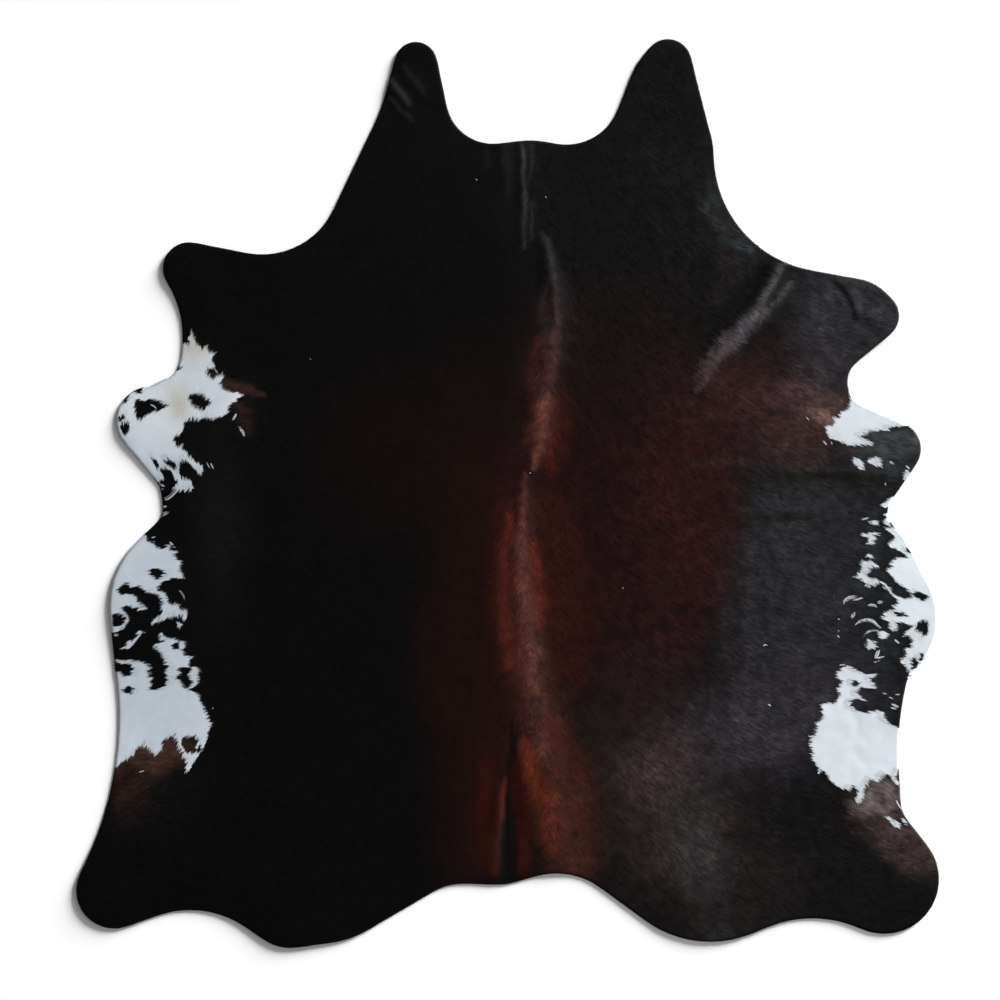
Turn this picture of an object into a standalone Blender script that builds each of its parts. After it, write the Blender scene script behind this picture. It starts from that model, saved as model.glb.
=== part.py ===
"""A cowhide rug: one whole cattle skin with its hair on, lying flat with the hair side up.

Metres, +Z up. The neck points to +Y, and the origin is on the floor under the middle of the hide.
The outline is a belt laid round a row of circles: it bulges round some and bends in round others.
The skin lies flat on the floor. Folds raise it along the back, at the neck and at one shoulder.
"""

import math
from collections import namedtuple

import bmesh
import bpy
import numpy as np
from mathutils import Vector, kdtree
from mathutils.geometry import delaunay_2d_cdt

MM = 0.001

# Driving dimensions, in millimetres
SKIN = 2.2  # tanned skin
COAT = 1.6  # hair lying flat on it
RIM_COAT = 0.6  # what is left of the hair at the trimmed edge
RIM_WIDTH = 8.0  # over which the hair thins out towards the edge
BEDDING = 0.8  # rise that the soft skin takes up before its underside leaves the floor

# How finely the solid is cut into flat faces, in millimetres
ARC_ERROR = 0.6  # an arc's chords stay this near to it
LONGEST_EDGE = 48.0  # along the outline
GRID = 54.0  # between points where the hide is flat
FOLD_STEP = 30.0  # between points along a fold
ACROSS_FOLD = (-2.1, -1.3, -0.65, 0.0, 0.65, 1.3, 2.1)  # points across a fold, in its half widths
FOLD_GAP = 7.0  # least gap between two points near folds, or between a point and the rim
FLAT_GAP = 30.0  # least gap between a grid point and any other
OUTLINE_GAP = 2.0  # least gap between two points of the outline
MERGE = 1e-6  # points nearer than this would be one

# The outline, clockwise from the middle of the neck. The hide bulges round an OUT circle and is
# cut in round an IN one.
OUT, IN = 1, -1
Round = namedtuple("Round", "name x y radius side")
OUTLINE = (
    Round("neck middle", 54, 636, 218, OUT),
    Round("neck notch right", 142, 980, 136, IN),
    Round("neck point right, inner side", 449, 958, 157, OUT),
    Round("neck point right", 388, 1043, 56, OUT),
    Round("neck right", 423, 837, 73, OUT),
    Round("shoulder right", 786, 823, 288, IN),
    Round("front leg right", 830, 399, 121, OUT),
    Round("front leg right, end", 889, 430, 57, OUT),
    Round("elbow right", 886, 270, 64, IN),
    Round("upper flank right", 934, 108, 65, OUT),
    Round("flank notch right", 966, -45, 47, IN),
    Round("flank right, start", 932, -134, 37, OUT),
    Round("flank right", 874, -302, 165, OUT),
    Round("flank right, end", 1014, -471, 51, IN),
    Round("thigh right", 1671, -626, 726, IN),
    Round("knee right", 1024, -745, 73, IN),
    Round("hind leg right", 912, -934, 131, OUT),
    Round("rump notch right", 738, -1315, 287, IN),
    Round("rump right", 491, -818, 266, OUT),
    Round("tail notch right", 118, -1101, 182, IN),
    Round("tail", -23, -801, 145, OUT),
    Round("tail notch left", -108, -1089, 145, IN),
    Round("rump left", -459, -854, 235, OUT),
    Round("rump left, corner", -525, -985, 114, OUT),
    Round("rump notch left", -769, -1250, 242, IN),
    Round("hind leg left", -952, -961, 91, OUT),
    Round("thigh left", -1741, -544, 800, IN),
    Round("flank left", -740, -275, 223, OUT),
    Round("flank notch left", -878, -38, 44, IN),
    Round("flank notch left, top", -864, 8, 24, IN),
    Round("upper flank left", -864, 176, 82, OUT),
    Round("elbow left", -860, 336, 70, IN),
    Round("front leg left, under side", -1040, 379, 254, IN),
    Round("front leg left", -771, 545, 62, OUT),
    Round("shoulder left", -595, 772, 194, IN),
    Round("neck left", -694, 1070, 412, IN),
    Round("neck point left", -222, 1042, 50, OUT),
    Round("neck notch left", -35, 962, 116, IN),
)

# The ridge along the back, from the neck to the tail, in sections across it
Section = namedtuple("Section", "y x half_width height")
BACK = (
    Section(630, 80, 9, 0.0),
    Section(605, 86, 12, 3.4),
    Section(555, 100, 17, 4.6),
    Section(470, 118, 24, 5.6),
    Section(420, 118, 30, 5.8),
    Section(330, 104, 30, 5.4),
    Section(225, 90, 28, 5.2),
    Section(110, 78, 26, 4.8),
    Section(62, 66, 22, 3.6),
    Section(40, 50, 16, 2.2),
    Section(-10, 38, 15, 3.8),
    Section(-110, 32, 20, 4.6),
    Section(-240, 36, 30, 4.6),
    Section(-345, 50, 36, 4.8),
    Section(-510, 68, 42, 5.2),
    Section(-640, 84, 46, 6.0),
    Section(-745, 96, 46, 6.0),
    Section(-850, 104, 44, 4.4),
    Section(-900, 106, 42, 3.2),
)

# Straight folds and hollows, which fade out towards their ends. A hollow has a height under zero.
FOLD_FADE = 0.7  # power of the sine along a fold: the smaller, the more sudden its ends
Fold = namedtuple("Fold", "name from_x from_y to_x to_y half_width height")
FOLDS = (
    Fold("neck, along the middle", 36, 850, 38, 590, 9, 3.2),
    Fold("neck, beside it", 58, 830, 62, 600, 8, 2.0),
    Fold("neck, left of it", -8, 850, -2, 720, 18, 1.8),
    Fold("shoulder", 690, 585, 458, 235, 19, 8.0),
    Fold("shoulder, upper branch", 712, 540, 615, 395, 11, 3.6),
    Fold("shoulder, hollow above it", 628, 560, 420, 250, 30, -1.2),
    Fold("below the neck, right", 500, 742, 552, 660, 15, 2.4),
    Fold("below the neck, far right", 545, 665, 610, 570, 17, 2.2),
    Fold("front leg right", 780, 500, 852, 420, 14, 2.2),
    Fold("neck point left, outer", -290, 1000, -224, 905, 14, 2.4),
    Fold("neck point left, inner", -255, 1015, -190, 960, 11, 1.6),
    Fold("flank right, upper", 740, 40, 930, 34, 16, 1.8),
    Fold("flank right, lower", 560, -62, 850, -46, 18, 1.6),
    Fold("tail, left of the hollow", -22, -690, -34, -950, 14, 3.0),
    Fold("tail, hollow", 18, -640, -4, -950, 13, -2.0),
)

# Places where the edge doesn't lie quite down
Lift = namedtuple("Lift", "name x y radius height")
LIFTS = (
    Lift("neck point left", -228, 1100, 110, 4.0),
    Lift("neck point right", 400, 1105, 120, 3.0),
    Lift("front leg left", -835, 575, 105, 4.5),
    Lift("front leg right", 950, 445, 120, 5.0),
    Lift("upper flank left", -950, 170, 110, 3.0),
    Lift("upper flank right", 1000, 110, 100, 3.5),
    Lift("flank right", 1045, -300, 150, 3.0),
    Lift("flank left", -975, -260, 160, 3.5),
    Lift("hind leg left", -1040, -990, 130, 4.0),
    Lift("hind leg right", 1030, -980, 140, 3.0),
    Lift("rump left", -530, -1110, 170, 3.5),
    Lift("rump right", 500, -1095, 180, 3.0),
    Lift("shoulder left", -560, 590, 120, 2.2),
)

# The coat seen from afar, for the plain material
COAT_COLOUR = (0.012, 0.008, 0.007, 1.0)
COAT_ROUGHNESS = 0.55
SHARP_ANGLE = 40.0  # degrees: faces that meet at more than this show an edge between them


def heading(row, following):
    """The direction of the straight run of the belt from one circle to the next."""
    run = math.hypot(following.x - row.x, following.y - row.y)
    turn = math.asin((row.side * row.radius - following.side * following.radius) / run)
    return math.atan2(following.y - row.y, following.x - row.x) - turn


def outline():
    """Points of the belt round the circles, clockwise, and which way is out at each."""
    points, outward = [], []
    headings = [heading(row, OUTLINE[(i + 1) % len(OUTLINE)]) for i, row in enumerate(OUTLINE)]

    def add(point, direction):
        points.append(point)
        outward.append(Vector((-math.sin(direction), math.cos(direction))))

    for i, row in enumerate(OUTLINE):
        start, end = headings[i - 1], headings[i]
        sweep = (end - start + math.pi) % (2 * math.pi) - math.pi
        step = min(2 * math.acos(1 - ARC_ERROR / row.radius), LONGEST_EDGE / row.radius)
        steps = max(1, math.ceil(abs(sweep) / step))
        for k in range(steps + 1):
            direction = start + sweep * k / steps
            add(on_circle(row, direction), direction)
        following = OUTLINE[(i + 1) % len(OUTLINE)]
        first, last = on_circle(row, end), on_circle(following, end)
        runs = math.ceil((last - first).length / LONGEST_EDGE)
        for k in range(1, runs):
            add(first.lerp(last, k / runs), end)
    return without_repeats(points, outward)


def on_circle(row, direction):
    """The point of the circle where the belt runs in this direction."""
    out = Vector((-math.sin(direction), math.cos(direction)))
    return Vector((row.x, row.y)) + row.side * row.radius * out


def without_repeats(points, outward):
    """Drops a point that is nearly the one before it, as where two arcs meet."""
    kept = [
        i for i in range(len(points)) if (points[i] - points[i - 1]).length > OUTLINE_GAP
    ]
    return [points[i] for i in kept], [outward[i] for i in kept]


def back_at(y):
    """The ridge's centre, half width and height at each y, on a smooth curve through its sections."""
    table = np.array(BACK)[::-1]
    stations, values = table[:, 0], table[:, 1:]
    slopes = np.gradient(values, stations, axis=0)
    y = np.clip(y, stations[0], stations[-1])
    i = np.clip(np.searchsorted(stations, y) - 1, 0, len(stations) - 2)
    length = (stations[i + 1] - stations[i])[:, None]
    t = (y - stations[i])[:, None] / length
    return (
        (1 + 2 * t) * (1 - t) ** 2 * values[i]
        + t * (1 - t) ** 2 * length * slopes[i]
        + t**2 * (3 - 2 * t) * values[i + 1]
        + t**2 * (t - 1) * length * slopes[i + 1]
    ).T


def along_and_across(fold, x, y):
    """How far a point lies along the fold, from 0 to 1 between its ends, and beside its line."""
    run = np.array((fold.to_x - fold.from_x, fold.to_y - fold.from_y))
    length = np.hypot(*run)
    unit = run / length
    x, y = x - fold.from_x, y - fold.from_y
    return (x * unit[0] + y * unit[1]) / length, x * unit[1] - y * unit[0]


def relief(x, y):
    """How far the folds and lifted edges raise the hide, in millimetres."""
    centre, half_width, height = back_at(y)
    above_neck_end = np.clip((BACK[0].y - y) / half_width, 0, 1)
    total = height * above_neck_end * np.exp(-(((x - centre) / half_width) ** 2))
    for fold in FOLDS:
        along, across = along_and_across(fold, x, y)
        taper = np.sin(math.pi * np.clip(along, 0, 1)) ** FOLD_FADE
        total += fold.height * taper * np.exp(-((across / fold.half_width) ** 2))
    for lift in LIFTS:
        away = np.hypot(x - lift.x, y - lift.y)
        total += lift.height * np.exp(-((away / lift.radius) ** 2))
    return total


def fold_points():
    """Points in rows across each fold and across the ridge of the back."""
    found = []
    for y in np.arange(BACK[-1].y, BACK[0].y, FOLD_STEP):
        centre, half_width, _ = back_at(np.array([y]))[:, 0]
        found += [(centre + across * half_width, y) for across in ACROSS_FOLD]
    for fold in FOLDS:
        start = Vector((fold.from_x, fold.from_y))
        run = Vector((fold.to_x, fold.to_y)) - start
        beside = run.normalized().orthogonal() * fold.half_width
        steps = math.ceil(run.length / FOLD_STEP)
        for k in range(steps + 1):
            middle = start + run * k / steps
            found += [tuple(middle + across * beside) for across in ACROSS_FOLD]
    return found


def grid_points(ring):
    """A grid of triangles over the hide, its rows offset by half a step."""
    low = [min(point[i] for point in ring) for i in (0, 1)]
    high = [max(point[i] for point in ring) for i in (0, 1)]
    row_height = GRID * math.sqrt(3) / 2
    found = []
    for row in range(math.ceil((high[1] - low[1]) / row_height)):
        for column in range(math.ceil((high[0] - low[0]) / GRID) + 1):
            x = low[0] + GRID * (column + 0.5 * (row % 2))
            found.append((x, low[1] + row_height * (row + 0.5)))
    return found


def inner_points(ring, outward, start):
    """Fold and grid points inside the outline, none too near another or the inner ring."""
    edge = kdtree.KDTree(len(ring))
    for i, point in enumerate(ring):
        edge.insert((*point, 0), i)
    edge.balance()
    kept = np.array([tuple(point) for point in start])
    for candidates, gap in ((fold_points(), FOLD_GAP), (grid_points(ring), FLAT_GAP)):
        for candidate in candidates:
            _, i, _ = edge.find((*candidate, 0))
            depth = -(Vector(candidate) - ring[i]).dot(outward[i])
            if depth < RIM_WIDTH + FOLD_GAP:
                continue
            if np.hypot(*(kept - candidate).T).min() > gap:
                kept = np.vstack((kept, candidate))
    return kept[len(start):]


def hide_mesh():
    """The hide as one closed body: hair side, flesh side and the trimmed edge between them."""
    ring, outward = outline()
    inner = [point - RIM_WIDTH * out for point, out in zip(ring, outward)]
    flat = [tuple(point) for point in ring + inner]
    flat += [tuple(point) for point in inner_points(ring, outward, ring + inner)]
    count = len(ring)
    border = [(i, (i + 1) % count) for i in range(count)]
    points = [Vector(point) for point in flat]
    placed, _, faces, _, _, _ = delaunay_2d_cdt(points, border, [], 1, MERGE)
    if len(placed) != len(flat):
        raise ValueError("the outline crosses itself or two points fell together")

    x, y = np.array(flat).T
    raised = relief(x, y)
    coat = np.where(np.arange(len(flat)) < count, RIM_COAT, COAT)
    under = np.maximum(0, raised - BEDDING)
    over = np.maximum(under + SKIN, SKIN + coat + raised)
    x -= (x.min() + x.max()) / 2
    y -= (y.min() + y.max()) / 2

    shape = bmesh.new()
    top = [shape.verts.new(p) for p in np.column_stack((x, y, over)) * MM]
    bottom = [shape.verts.new(p) for p in np.column_stack((x, y, under)) * MM]
    for face in faces:
        shape.faces.new([top[i] for i in face])
        shape.faces.new([bottom[i] for i in reversed(face)])
    for a, b in border:
        shape.faces.new((top[a], top[b], bottom[b], bottom[a]))
    bmesh.ops.recalc_face_normals(shape, faces=shape.faces)
    mesh = bpy.data.meshes.new("hide")
    shape.to_mesh(mesh)
    shape.free()
    return mesh


def coat_material():
    material = bpy.data.materials.new("cowhide")
    material.use_nodes = True
    shader = material.node_tree.nodes["Principled BSDF"]
    shader.inputs["Base Color"].default_value = COAT_COLOUR
    shader.inputs["Roughness"].default_value = COAT_ROUGHNESS
    shader.inputs["Metallic"].default_value = 0.0
    return material


def main():
    for obj in list(bpy.data.objects):
        bpy.data.objects.remove(obj)
    mesh = hide_mesh()
    mesh.materials.append(coat_material())
    mesh.shade_smooth()
    mesh.set_sharp_from_angle(angle=math.radians(SHARP_ANGLE))
    hide = bpy.data.objects.new("hide", mesh)
    bpy.context.scene.collection.objects.link(hide)


main()
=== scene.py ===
"""The looks of a cowhide rug: a whole hide with its hair on, flat on a pale floor, seen from above.

Metres, +Z up and +Y towards the neck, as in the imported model. The tables are in millimetres.
"""

import math
from collections import namedtuple

import bpy
import numpy as np
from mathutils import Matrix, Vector, kdtree
from mathutils.bvhtree import BVHTree
from mathutils.geometry import delaunay_2d_cdt


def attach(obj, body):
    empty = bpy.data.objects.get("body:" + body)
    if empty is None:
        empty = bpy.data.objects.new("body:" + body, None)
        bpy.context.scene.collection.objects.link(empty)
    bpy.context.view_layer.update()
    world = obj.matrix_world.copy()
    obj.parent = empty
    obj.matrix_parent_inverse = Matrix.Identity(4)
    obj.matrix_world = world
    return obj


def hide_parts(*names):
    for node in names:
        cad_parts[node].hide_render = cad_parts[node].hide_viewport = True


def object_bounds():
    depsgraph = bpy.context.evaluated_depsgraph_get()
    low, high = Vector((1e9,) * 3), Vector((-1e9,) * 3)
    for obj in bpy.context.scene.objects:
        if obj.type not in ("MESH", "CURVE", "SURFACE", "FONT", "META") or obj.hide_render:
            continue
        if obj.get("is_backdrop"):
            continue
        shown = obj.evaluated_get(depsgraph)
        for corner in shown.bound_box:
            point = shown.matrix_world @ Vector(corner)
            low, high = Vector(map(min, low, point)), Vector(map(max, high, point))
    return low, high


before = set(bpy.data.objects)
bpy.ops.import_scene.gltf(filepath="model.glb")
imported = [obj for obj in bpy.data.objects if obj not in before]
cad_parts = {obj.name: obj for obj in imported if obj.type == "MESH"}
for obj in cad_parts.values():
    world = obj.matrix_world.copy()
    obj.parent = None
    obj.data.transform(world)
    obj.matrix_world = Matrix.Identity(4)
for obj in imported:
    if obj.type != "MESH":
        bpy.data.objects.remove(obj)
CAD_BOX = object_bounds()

MM = 0.001
SEED = 7
HAIR_SEED = SEED + 20
BAND_SEED = SEED + 40
TINT_SEED = SEED + 50

# The hide's layers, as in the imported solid
SKIN = 2.2
FLAT_TOP = 3.8  # the lying hair's upper side over the floor
BEDDING = 0.8  # rise that the skin takes up before its underside leaves the floor
LEAST = 2.9  # of skin and hair together, in a hollow

# The coat's rounded rim: how far outside the cut skin, and how high over the underside
Rim = namedtuple("Rim", "outward height")
RIM = (
    Rim(1.6, 0.5),
    Rim(1.4, 1.6),
    Rim(0.7, 2.6),
    Rim(-0.8, 3.3),
    Rim(-2.6, 3.65),
    Rim(-6.0, 3.8),
)
RIM_STEP = 6.0

# Distances between the coat's points
COARSE = 9.5
MEDIUM = 5.0  # along the back, at creases and under bands of colour
FINE = 2.9  # at the edges of the white patches
FINE_REACH = 8.0  # from a patch's edge
FAR = 40.0  # distances from a patch's edge are kept only up to this
BACK_DETAIL = 55.0  # from the line of the back
CREASE_DETAIL = 2.2  # from a crease's line, in its widths
BAND_DETAIL = 0.02  # or where a band has more than this share of the colour
EDGE_CLEAR = 0.55  # from the rim to the points inside it, as a share of their step
SKIN_STEP = 20.0
SKIN_CLEAR = 0.7  # from its edge to the points inside it, as a share of their step
SKIN_SHOWN = 0.8  # share of its thickness that the skin's piece has: the coat hides the rest
SKIN_SHARP = 40.0  # degrees between faces that meet in a sharp edge

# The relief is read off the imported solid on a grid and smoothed
GRID = 6.0
GRID_SMOOTH = 8.0
GRID_MARGIN = 48.0
GRID_BLUR = 4  # cells to each side

# The line of the back, which the hair parts from
Back = namedtuple("Back", "y x")
BACK = (
    Back(1100, 60),
    Back(630, 80),
    Back(470, 118),
    Back(330, 104),
    Back(110, 78),
    Back(-10, 38),
    Back(-110, 32),
    Back(-345, 50),
    Back(-640, 84),
    Back(-900, 106),
    Back(-1100, 110),
)

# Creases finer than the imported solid's, each along a few points, its two sides of unlike width
Crease = namedtuple("Crease", "name height left right points")
CREASES = (
    Crease("neck, middle", 1.3, 5, 6, ((35, 845), (39, 760), (41, 680), (42, 600))),
    Crease("neck, second", 0.9, 4, 5, ((58, 842), (56, 750))),
    Crease("neck, second, lower", 0.9, 4, 5, ((57, 704), (57, 650), (60, 618))),
    Crease("crest, neck", 1.6, 9, 10, ((84, 634), (100, 580), (106, 500), (112, 420), (100, 330))),
    Crease("shoulder", 3.2, 12, 24, ((660, 555), (608, 445), (555, 388), (500, 330), (452, 240))),
    Crease("shoulder, branch", 1.8, 8, 10, ((678, 508), (640, 455), (600, 408))),
    Crease("shoulder, hollow", -1.6, 24, 14, ((624, 555), (560, 460), (474, 353))),
    Crease("cowlick, dip", -1.4, 4, 4, ((44, 50), (50, 42), (56, 36))),
    Crease("tail, hollow", -2.2, 9, 12, ((8, -560), (6, -690), (1, -790), (1, -925))),
    Crease("tail, beside it", 1.4, 8, 8, ((-4, -680), (-22, -780), (-32, -880))),
    Crease("flank right, upper fold", -1.0, 12, 10, ((700, 38), (820, 38), (912, 37))),
    Crease("flank right, lower fold", -0.6, 10, 10, ((575, -55), (650, -58), (740, -57))),
    Crease("front leg right, outer", -1.2, 6, 9, ((798, 510), (828, 468), (844, 426))),
    Crease("front leg right, second", -0.7, 6, 8, ((855, 498), (876, 474), (894, 455))),
    Crease("neck point left", 0.8, 8, 10, ((-280, 1006), (-265, 977), (-236, 946))),
    Crease("neck point left, second", 0.9, 6, 8, ((-282, 958), (-260, 930), (-231, 910))),
    Crease("thigh right", -0.5, 12, 18, ((812, -500), (846, -560), (838, -600), (852, -650), (815, -700))),
)
CREASE_FADE = 0.6  # power of the sine along a crease: the smaller, the more sudden its ends

# Low clumps in the lying hair, where it is ruffled
Waves = namedtuple("Waves", "size height")
CLUMPS = (Waves(36, 0.34), Waves(18, 0.2))

# The direction of the hair: down along the back, turning outward to the flanks
HAIR_TURN = 800.0
HAIR_REACH = 430.0
HAIR_SLANT = 0.5
HAIR_WAVES = (Waves(150, 12.0), Waves(55, 5.0))  # that the strands run in
# Places where the hair lies in a way of its own, in degrees anticlockwise from +X
Comb = namedtuple("Comb", "x y angle reach")
COMB_PULL = 6.0
COMBS = (
    Comb(-769, 348, -90, 50),
    Comb(-697, 287, -110, 45),
    Comb(-648, 236, 180, 40),
    Comb(-745, 183, -100, 45),
    Comb(-903, 105, -55, 70),
    Comb(-830, 69, -50, 35),
    Comb(-769, 57, -60, 35),
    Comb(-830, -30, -150, 45),
    Comb(-854, -113, -170, 50),
    Comb(-786, -173, 180, 50),
    Comb(-800, -294, -85, 22),
    Comb(-840, -294, -130, 25),
    Comb(-878, -355, -140, 40),
    Comb(-854, -452, 180, 60),
    Comb(-757, -452, 180, 50),
    Comb(-769, -640, -120, 60),
    Comb(-866, -609, -100, 60),
    Comb(794, 190, -30, 45),
    Comb(854, 142, -17, 45),
    Comb(842, 76, -35, 40),
    Comb(915, -40, -10, 35),
    Comb(939, -88, -35, 35),
    Comb(878, -113, -15, 35),
    Comb(866, -197, -38, 40),
    Comb(927, -234, -35, 40),
    Comb(818, -258, -140, 25),
    Comb(866, -307, -20, 30),
    Comb(1007, -331, 70, 25),
    Comb(794, -476, 0, 50),
    Comb(738, -585, -10, 60),
    Comb(878, -706, -35, 60),
    Comb(915, -779, -35, 60),
)

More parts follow.
